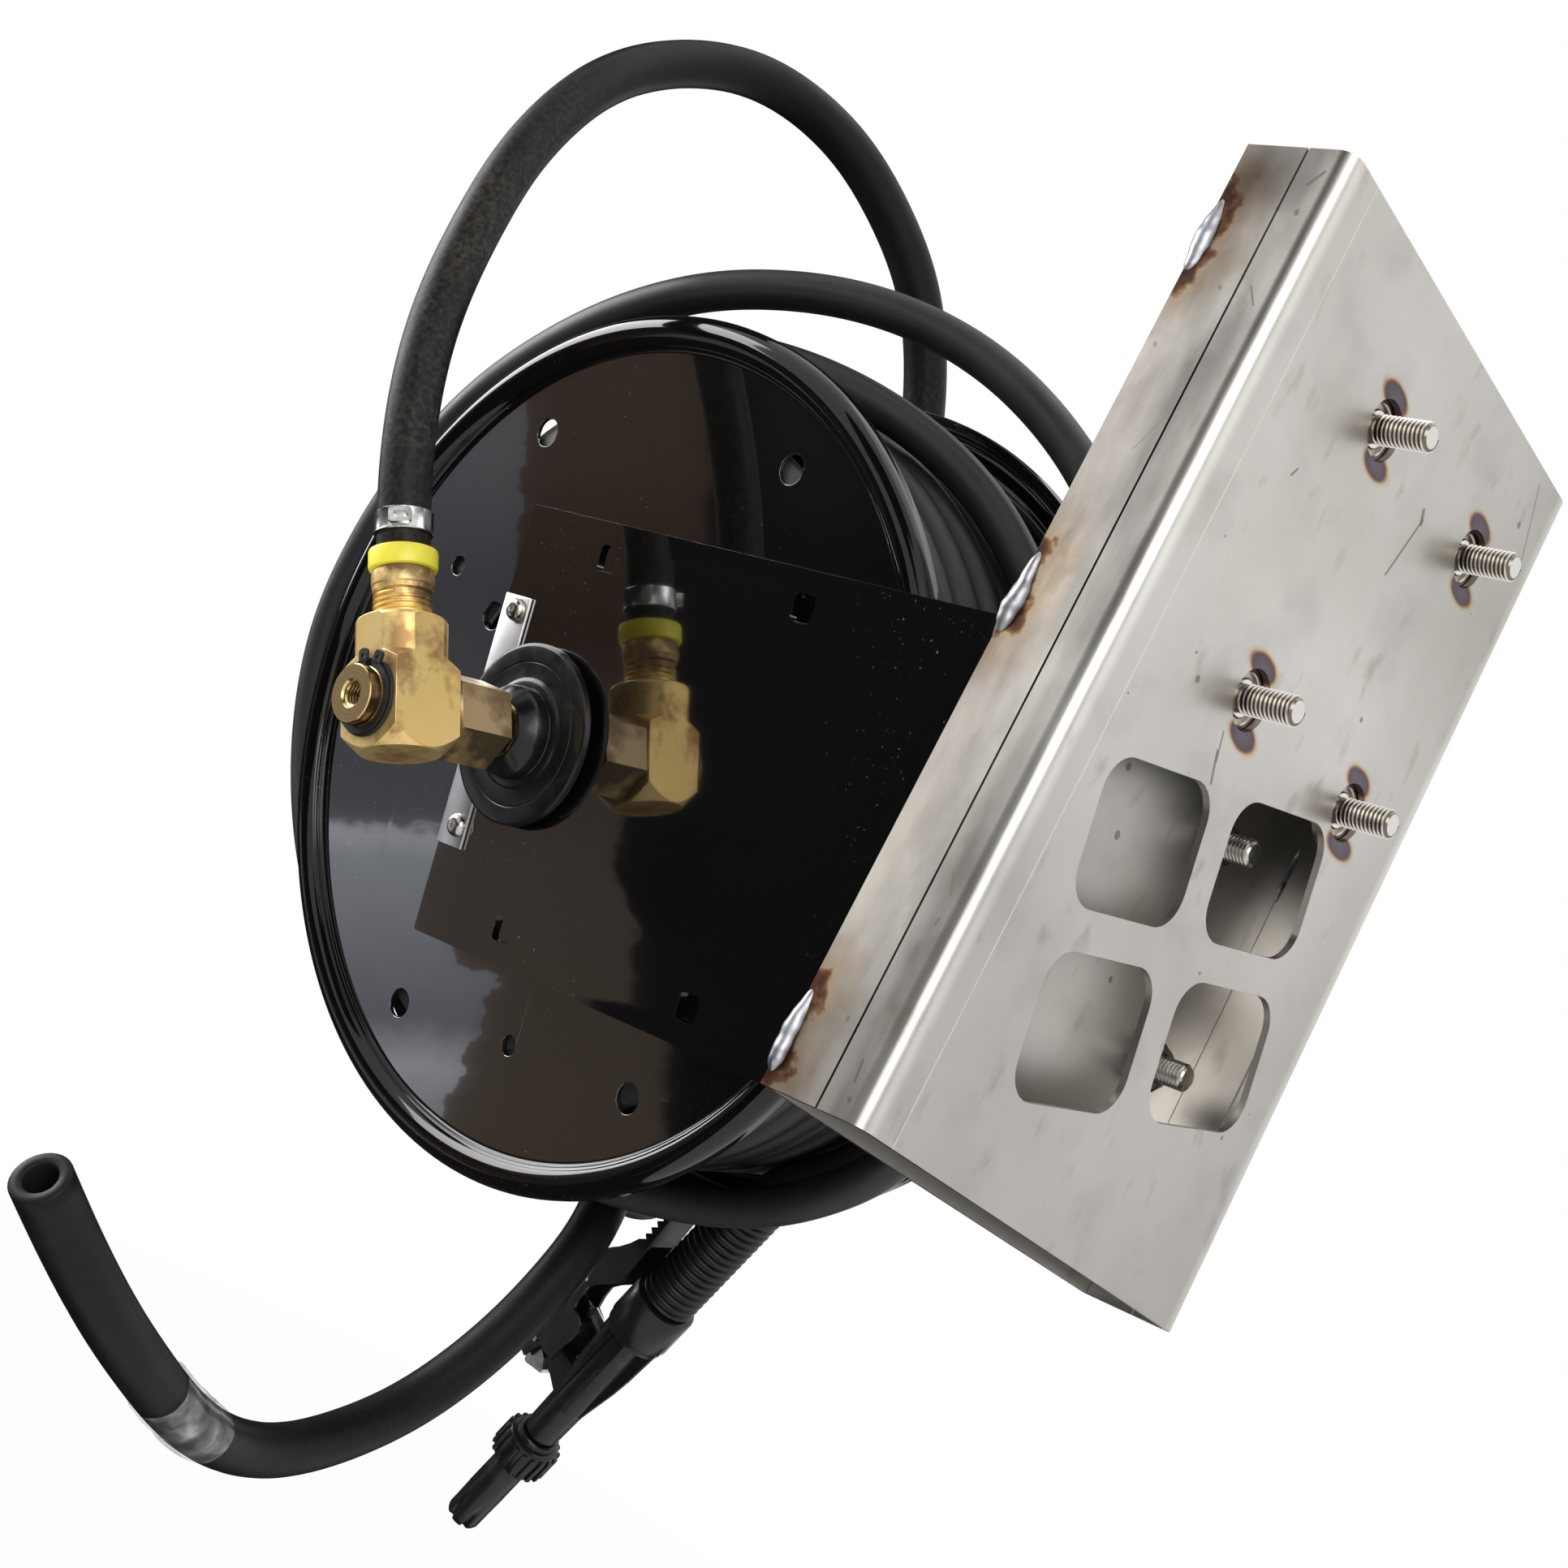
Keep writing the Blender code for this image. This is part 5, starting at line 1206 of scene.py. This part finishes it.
def turned_brass():
    """Brass off the lathe: fine rings on its face, and a dark oxidised side."""
    finish = Finish("turned_brass", (0.82, 0.62, 0.27), 0.24, 1.0)
    offset = finish.vector("SUBTRACT", 0, finish.place, SPOOL.translation)
    across = finish.vector("CROSS_PRODUCT", 0, offset, SPOOL.to_3x3() @ Vector((1, 0, 0)))
    spread = finish.vector("LENGTH", "Value", across)
    rings = finish.node("ShaderNodeTexNoise", {"noise_dimensions": "1D"},
                        {"W": spread, "Scale": 2600.0, "Detail": 2.0}).outputs["Fac"]
    side = finish.math("GREATER_THAN", spread, 0.01235)
    face = finish.ramp(rings, (0.35, (0.66, 0.46, 0.17)), (0.62, (0.88, 0.69, 0.36)))
    stains = finish.ramp(finish.noise(150, 4), (0.40, (0.10, 0.06, 0.03)),
                         (0.62, (0.34, 0.21, 0.09)))
    finish.set("Base Color", finish.mix(side, face, stains))
    finish.bump(rings, 0.35, 0.05 * MM)
    return finish.material


BRASS = brass("machined_brass", 0.64, (0.42, 0.25, 0.10))
BROWN_BRASS = brass("browned_brass", 0.52, (0.16, 0.105, 0.06))
# Lit and shaded copies of the nipple's brass; the faces that look down take the darker one as
# painted shade.
NIPPLE_LIT = brass("nipple_lit", 0.62, (0.24, 0.16, 0.08), (0.46, 0.32, 0.16),
                     (0.56, 0.41, 0.23))
NIPPLE_PAINTED_SHADE = brass("nipple_painted_shade", 0.40, (0.10, 0.07, 0.035), (0.34, 0.24, 0.10),
                    (0.44, 0.30, 0.12))
TURNED_BRASS = turned_brass()


def cut_by(made, cutter, operation):
    """Apply one Boolean with a cutter shape, then drop the cutter."""
    bmesh.ops.recalc_face_normals(cutter, faces=cutter.faces)
    tool = new_object("cutter", cutter)
    change = made.modifiers.new("cut", "BOOLEAN")
    change.operation = operation
    change.solver = "EXACT"
    change.object = tool
    fresh = evaluated_mesh(made)
    made.modifiers.clear()
    old = made.data
    made.data = fresh
    bpy.data.meshes.remove(old)
    bpy.data.objects.remove(tool)


SWIVEL_BORE = 12.95


def swivel_block():
    """The bar met with its turned outline, then bored for the shaft and for the barb."""
    stock = bar(34.5, 34.5, 57.6)
    bmesh.ops.translate(stock, vec=(0, 0, 7.8 * MM), verts=stock.verts)
    block = new_object("swivel_block", stock)
    turning = turned([(0, 36.5), (16.4, 36.5), (18.2, 35.7), (19.04, 34.4), (19.04, 19.0),
                      (24.4, 14.4), (26.4, 12.7), (26.4, -11.4), (16.9, -20.9), (0, -20.9)], 160)
    cut_by(block, turning, "INTERSECT")
    bore = turned([(0, 40), (SWIVEL_BORE, 40), (SWIVEL_BORE, -40), (0, -40)], 96)
    bmesh.ops.transform(bore, matrix=ALONG_X, verts=bore.verts)
    cut_by(block, bore, "DIFFERENCE")
    mouth = turned([(0, 60), (11.5, 60), (11.5, 26), (0, 26)], 96)
    cut_by(block, mouth, "DIFFERENCE")
    mesh = block.data
    shape = bmesh.new()
    shape.from_mesh(mesh)
    bpy.data.objects.remove(block)
    bpy.data.meshes.remove(mesh)
    bmesh.ops.remove_doubles(shape, verts=shape.verts, dist=0.002 * MM)
    made = piece("swivel_block", shape, BRASS, "box_and_frame", "brass", "swivel_body",
                 place=INLET, sharp=22)
    soften(made, 0.35 * MM, 35)


def spool_shaft():
    shape = turned([(5.4, 252.0), (5.4, 266.4), (6.2, 267.3), (12.0, 267.3), (12.5, 266.8),
                    (12.55, 262.9), (11.9, 262.5), (11.9, 261.2), (12.55, 260.9), (12.55, 221.5),
                    (11.0, 221.5), (11.0, 186.4), (5.8, 186.4), (5.8, 158.0), (0, 158.0)], 96)
    tap = bmesh.new()
    screw_thread(tap, 4.55, 0.80, 1.5, 253.5, 266.0, inside=True)
    lathe(tap, [(0, 252.0), (5.5, 252.0)], 48)
    join(shape, tap)
    piece("spool_shaft", shape, TURNED_BRASS, "spool", "brass", "swivel_shaft",
          place=SPOOL @ ALONG_X, sharp=28)
    nipple = hex_nut(19.8, 6.0, 29.4)
    turn = Matrix.Rotation(math.radians(-4.0), 4, "Z")
    made = piece("hexagon_nipple", nipple, NIPPLE_LIT, "spool", "brass",
                 place=SPOOL @ Matrix.Translation((208.7 * MM, 0, 0)) @ ALONG_X @ turn, sharp=25)
    made.data.materials.append(NIPPLE_PAINTED_SHADE)
    # Faces that look down take the darker copy: painted shade.
    down = INLET.to_3x3() @ Vector((0, 0.2, -1))
    for face in made.data.polygons:
        if face.normal.dot(down) > 0.35:
            face.material_index = 1


def retaining_ring():
    """A round-wire ring with two drilled lugs, and the dark washer behind it."""
    ring = arc((0, 0), 15.4 * MM, 78, 418, 64)
    inner = arc((0, 0), 12.7 * MM, 418, 78, 64)
    shape = blank([ring + inner])
    for turn in (math.radians(84), math.radians(52)):
        spot = (17.0 * MM * math.cos(turn), 17.0 * MM * math.sin(turn))
        join(shape, blank([rounded_rectangle(6.2 * MM, 5.0 * MM, 1.6 * MM, spot, -turn, 5),
                           arc(spot, 1.0 * MM, 0, 330, 11)]))
    raise_faces(shape, 1.3)
    piece("snap_ring", shape, RING_BLACK, "spool", "spring_steel", "retaining_ring",
          place=SPOOL @ Matrix.Translation((260.2 * MM, 0, 0)) @ ALONG_X
          @ Matrix.Rotation(math.radians(RING_TURN), 4, "Z"))
    washer = turned([(12.75, 260.0), (16.0, 260.0), (16.4, 259.6), (16.4, 258.6),
                     (12.75, 258.6)], 96, ring=True)
    piece("swivel_washer", washer, RING_BLACK, "spool", "black_plastic", "seal_washer",
          place=SPOOL @ ALONG_X)


RING_TURN = 119.0
RING_BLACK = moulded_black("ring_black", (0.016, 0.015, 0.015), 0.42, 0.2)


def barb_and_clamp():
    shape = bmesh.new()
    screw_thread(shape, 12.4, 1.1, 2.3, 36.8, 46.2)
    lathe(shape, [(6.2, 27.5), (11.3, 27.5), (11.3, 47.4), (12.6, 48.0), (12.6, 50.0),
                  (13.1, 50.6), (13.2, 55.0), (12.6, 57.2), (8.4, 57.2), (8.4, 66.2),
                  (6.2, 66.2)], 96, ring=True)
    piece("push_on_barb", shape, BARB_BRASS, "box_and_frame", "brass", "barb_fitting",
          place=INLET, sharp=30)
    ring = turned([(8.7, 57.5), (13.4, 57.5), (14.2, 58.0), (14.5, 59.0), (14.6, 65.0),
                   (14.3, 66.0), (13.4, 66.4), (8.7, 66.4)], 96, ring=True)
    piece("stop_ring", ring, YELLOW, "box_and_frame", "yellow_plastic", "yellow_ring",
          place=INLET, sharp=40)
    band = bmesh.new()
    inner = 11.55
    lathe(band, [(inner, 73.6), (inner + 0.6, 73.2), (inner + 1.0, 73.6), (inner + 0.8, 74.6),
                 (inner + 0.8, 81.4), (inner + 1.0, 82.4), (inner + 0.6, 82.8), (inner, 82.4)],
          96, ring=True)
    ear = blank([rounded_rectangle(9.6 * MM, 6.6 * MM, 1.6 * MM, count=5),
                 rounded_rectangle(6.6 * MM, 3.0 * MM, 0.9 * MM, count=5)])
    raise_faces(ear, 3.2)
    turn = math.radians(43.0)
    outward = Vector((math.cos(turn), math.sin(turn), 0))
    around = Vector((-math.sin(turn), math.cos(turn), 0))
    place = Matrix((around, Vector((0, 0, 1)), outward)).transposed().to_4x4()
    place.translation = outward * 11.9 * MM + Vector((0, 0, 78.0 * MM))
    bmesh.ops.transform(ear, matrix=place, verts=ear.verts)
    bmesh.ops.recalc_face_normals(ear, faces=ear.faces)
    join(band, ear)
    return piece("pinch_clamp", band, CLAMP_STEEL, "box_and_frame", "aluminium", "ear_clamp",
                 place=INLET, sharp=30)


YELLOW = mottled("yellow_plastic", (0.83, 0.77, 0.02), 0.35, 0.0, (60, 4),
                 ((0.35, (0.86, 0.74, 0.05)), (0.6, (0.98, 0.88, 0.07))),
                 bump=((300, 3), 0.12, 0.08 * MM))
CLAMP_STEEL = mottled("clamp_steel", (0.66, 0.65, 0.64), 0.22, 1.0, (140, 4),
                      ((0.35, (0.38, 0.37, 0.36)), (0.6, (0.72, 0.71, 0.70))),
                      bump=((260, 4), 0.3, 0.2 * MM))
BARB_BRASS = brass("barb_brass", 0.56, (0.22, 0.14, 0.06))
swivel_block()
spool_shaft()
retaining_ring()
clamp = barb_and_clamp()


# Tape. A wrap of clear tape round the supply hose near its cut end, wrinkled and dusty.
def clear_tape():
    finish = Finish("clear_tape", (0.62, 0.60, 0.57), 0.18)
    folds = finish.noise(75, 5)
    finish.set("Alpha", finish.ramp(folds, (0.36, 0.16), (0.56, 0.34), (0.72, 0.70)))
    finish.set("Base Color", finish.ramp(folds, (0.4, (0.34, 0.32, 0.30)),
                                         (0.7, (0.74, 0.72, 0.69))))
    finish.set("Coat Weight", 1.0)
    finish.set("Coat Roughness", 0.06)
    finish.bump(folds, 0.8, 1.2 * MM)
    return finish.material


TAPE_START, TAPE_END = 0.186, 0.130


def hose_tape():
    """A loose sleeve round the hose between two distances from its cut end."""
    spots = [0.0]
    for first, second in zip(supply_path, supply_path[1:]):
        spots.append(spots[-1] + (second - first).length)
    end = spots[-1]
    chosen = [point for point, spot in zip(supply_path, spots)
              if end - TAPE_START < spot < end - TAPE_END]
    shape = tube_mesh("hose_tape", chosen, SUPPLY_RADIUS + 0.5 * MM, 48, False)
    for vert in shape.verts:
        near = min(chosen, key=lambda point: (point - vert.co).length)
        outward = (vert.co - near).normalized()
        lift = noise.noise(vert.co * 90) + 0.5 * noise.noise(vert.co * 240)
        vert.co += outward * (0.35 + 0.9 * max(lift, 0.0)) * MM
    piece("clear_hose_tape", shape, clear_tape(), "box_and_frame", "black_rubber", sharp=70)


hose_tape()


# Bend protector. A moulded rubber sleeve with deep rings that keeps the hose from kinking
# where it enters the gun.
PROTECTOR_BLACK = moulded_black("protector_black", (0.0095, 0.0095, 0.010), 0.34, 0.10)


def bend_protector():
    shape = bmesh.new()
    pitch, count, start = 4.2, 17, 61.0
    profile = [(9.4, start), (12.4, start)]
    for rib in range(count):
        top = start - pitch * rib
        profile += [(12.5, top - 0.25), (13.6, top - 0.5), (14.1, top - 1.0),
                    (14.2, top - 1.6), (13.95, top - 2.2), (13.1, top - 2.7),
                    (12.3, top - 3.0), (12.1, top - 3.5), (12.3, top - 4.0)]
    profile += [(11.8, start - pitch * count), (9.4, start - pitch * count)]
    lathe(shape, profile, 56, ring=True)
    return piece("ribbed_bend_protector", shape, PROTECTOR_BLACK, "box_and_frame",
                 "black_rubber", "bend_protector", place=GUN, sharp=50)


protector = bend_protector()


# Wash gun. A moulded body with a plain cuff and a fluted, tapering barrel, a leg that carries
# the thumb lever on a pin, a knurled nut and a scalloped nozzle.
GUN_BLACK = moulded_black("gun_black", (0.009, 0.009, 0.0095), 0.27, 0.12)


def plate_between(outlines, low, high):
    """A flat plate sketched in the gun's (y, z) plane, from x = low to x = high."""
    plate = blank([[(y * MM, z * MM) for y, z in outline] for outline in outlines])
    raise_faces(plate, high - low)
    bmesh.ops.translate(plate, vec=(0, 0, low * MM), verts=plate.verts)
    bmesh.ops.transform(plate, verts=plate.verts, matrix=Matrix(
        ((0, 0, 1, 0), (1, 0, 0, 0), (0, 1, 0, 0), (0, 0, 0, 1))))
    bmesh.ops.recalc_face_normals(plate, faces=plate.faces)
    return plate


def gun_body():
    shape = turned([(6.0, 165.0), (8.4, 165.0), (8.9, 164.4), (9.2, 160.0), (9.5, 146.0),
                    (9.7, 138.0), (10.1, 112.0), (10.5, 89.0), (11.2, 87.6), (14.8, 87.2),
                    (15.5, 86.5), (15.9, 83.6), (16.4, 82.6), (16.4, 62.8), (15.9, 61.9),
                    (14.9, 61.5), (6.0, 61.5)], 96, ring=True)
    for index in range(6):
        rib = plate_between([[(8.6, 141), (9.9, 141), (10.6, 136), (13.4, 118), (14.6, 106),
                              (15.5, 86), (8.6, 86)]], -1.1, 1.1)
        bmesh.ops.rotate(rib, cent=(0, 0, 0), verts=rib.verts, matrix=Matrix.Rotation(
            math.radians(RIB_TURN + 60.0 * index), 3, "Z"))
        join(shape, rib)
    join(shape, plate_between([[(7, 146), (8.2, 146), (9.1, 144.8), (17, 142.2), (30, 141.8),
                                (34.4, 140.9), (35.6, 139.5), (35.9, 132), (31, 129),
                                (24, 128), (10.8, 127.8), (7, 126)]], -3, 3))
    made = piece("gun_housing", shape, GUN_BLACK, "box_and_frame", "black_plastic", "gun_body",
                 place=GUN, sharp=30)
    soften(made, 0.25 * MM, 50)


def thumb_lever():
    """A channel-shaped lever: a back with a serrated thumb rest, and two cheeks on the pin."""
    pad = [(22.3, 36.1), (23, 27.5), (24.6, 26.4), (26.5, 26.5)]
    for tooth in range(5):
        top = 29.6 + 4.6 * tooth
        pad += [(27.4, top - 0.5), (27.6, top), (27.0, top + 0.5), (24.5, top + 1.7),
                (24.3, top + 2.3)]
    pad += [(28.4, 52.8), (30.3, 58.5), (33.5, 65.1), (36.2, 69.0), (38.1, 72.4), (38.6, 76),
            (38.6, 90)]
    cheek = [(36.4, 146), (31.2, 146.8), (30.5, 141), (28.3, 134.4), (21.5, 133.8),
             (18.5, 133.3), (18.7, 124.9), (18, 109.7), (19.5, 107.5), (25.1, 106.5),
             (29, 106.1), (30.6, 99.5), (31.1, 93.1), (28.4, 88.0), (19.4, 75.3)] + pad
    eye = arc((32.8, 135), 1.9, 0, 345, 23)
    back = [(37.15, 127), (35.9, 127), (36.4, 90), (36.3, 75), (31.6, 66.4), (28, 59),
            (25.5, 53), (21.3, 50.2)] + pad
    shape = plate_between([cheek, eye], 7.2, 9.0)
    join(shape, plate_between([cheek, eye], -9.0, -7.2))
    join(shape, plate_between([back], -7.4, 7.4))
    made = piece("thumb_lever_shell", shape, GUN_BLACK, "thumb_lever_body", "black_plastic",
                 "thumb_lever", place=GUN, sharp=30)
    soften(made, 0.3 * MM, 50)
    rivet = turned([(0, 9.6), (0.9, 9.5), (1.4, 9.0), (1.4, -9.0), (0.9, -9.5), (0, -9.6)], 24)
    piece("lever_rivet", rivet, PLATED_STEEL, "thumb_lever_body", "stud_steel",
          place=GUN @ Matrix.Translation((0, 35 * MM, 91.5 * MM)) @ ALONG_X)


def nut_and_nozzle():
    nut = turned([(9.1, 186.0), (12.8, 186.0), (13.5, 185.6), (13.9, 184.6), (13.9, 171.2),
                  (13.4, 169.8), (12.2, 169.1), (11.0, 169.0), (11.0, 165.9), (10.6, 165.5),
                  (9.1, 165.5)], 96, ring=True)
    for index in range(18):
        rib = bar(2.2, 2.6, 14.2, 0.6, 2)
        bmesh.ops.translate(rib, vec=(14.3 * MM, 0, 177.8 * MM), verts=rib.verts)
        bmesh.ops.rotate(rib, cent=(0, 0, 0), verts=rib.verts,
                         matrix=Matrix.Rotation(math.radians(20.0 * index), 3, "Z"))
        join(nut, rib)
    piece("knurled_nut", nut, GUN_BLACK, "spray_nozzle", "black_plastic", "spray_nut",
          place=GUN, sharp=30)
    tip = turned([(4.0, 232.6), (4.9, 233.5), (7.4, 233.5), (8.5, 233.0), (9.2, 231.2),
                  (9.3, 229.0), (9.3, 224.0), (9.3, 219.0), (9.25, 214.0), (9.2, 200.0),
                  (9.2, 189.0), (8.8, 187.0), (8.5, 186.2), (8.5, 170.4), (8.0, 166.0),
                  (4.0, 166.0)], 144, ring=True)
    for vert in tip.verts:
        level = vert.co.z / MM
        if math.hypot(vert.co.x, vert.co.y) > 7 * MM and level > 217:
            turn = math.atan2(vert.co.y, vert.co.x)
            deep = max(0.0, math.cos(6 * turn)) ** 2 * min(1.0, (level - 217) / 10)
            vert.co.x *= 1 - 0.22 * deep
            vert.co.y *= 1 - 0.22 * deep
    piece("scalloped_nozzle", tip, GUN_BLACK, "spray_nozzle", "black_plastic", "nozzle_tip",
          place=GUN, sharp=40)


RIB_TURN = -6.7
gun_body()
thumb_lever()
nut_and_nozzle()


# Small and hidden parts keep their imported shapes: pins, stem, arbor, ratchet, springs, barrel,
# far bush, elbow and axle, each in the metal, plastic or paint that is usual for it.
BLUED_SPRING = mottled("blued_spring", (0.10, 0.10, 0.12), 0.3, 1.0, (90, 3),
                       ((0.35, (0.05, 0.05, 0.07)), (0.7, (0.16, 0.15, 0.17))))
PACKED = {
    PLATED_STEEL: ("spring_arbor", "arbor_nut", "pawl_pin", "near_axle", "ratchet_wheel",
                   "ratchet_pawl", "trigger_pin", "valve_stem"),
    GLOSS_BLACK: ("drum_barrel", "spring_case"),
    BUSH_BLACK: ("far_bush",),
    BROWN_BRASS: ("outlet_elbow",),
    BLUED_SPRING: ("main_spring", "pawl_spring"),
}
for material, nodes in PACKED.items():
    finish_packed(material, *nodes)
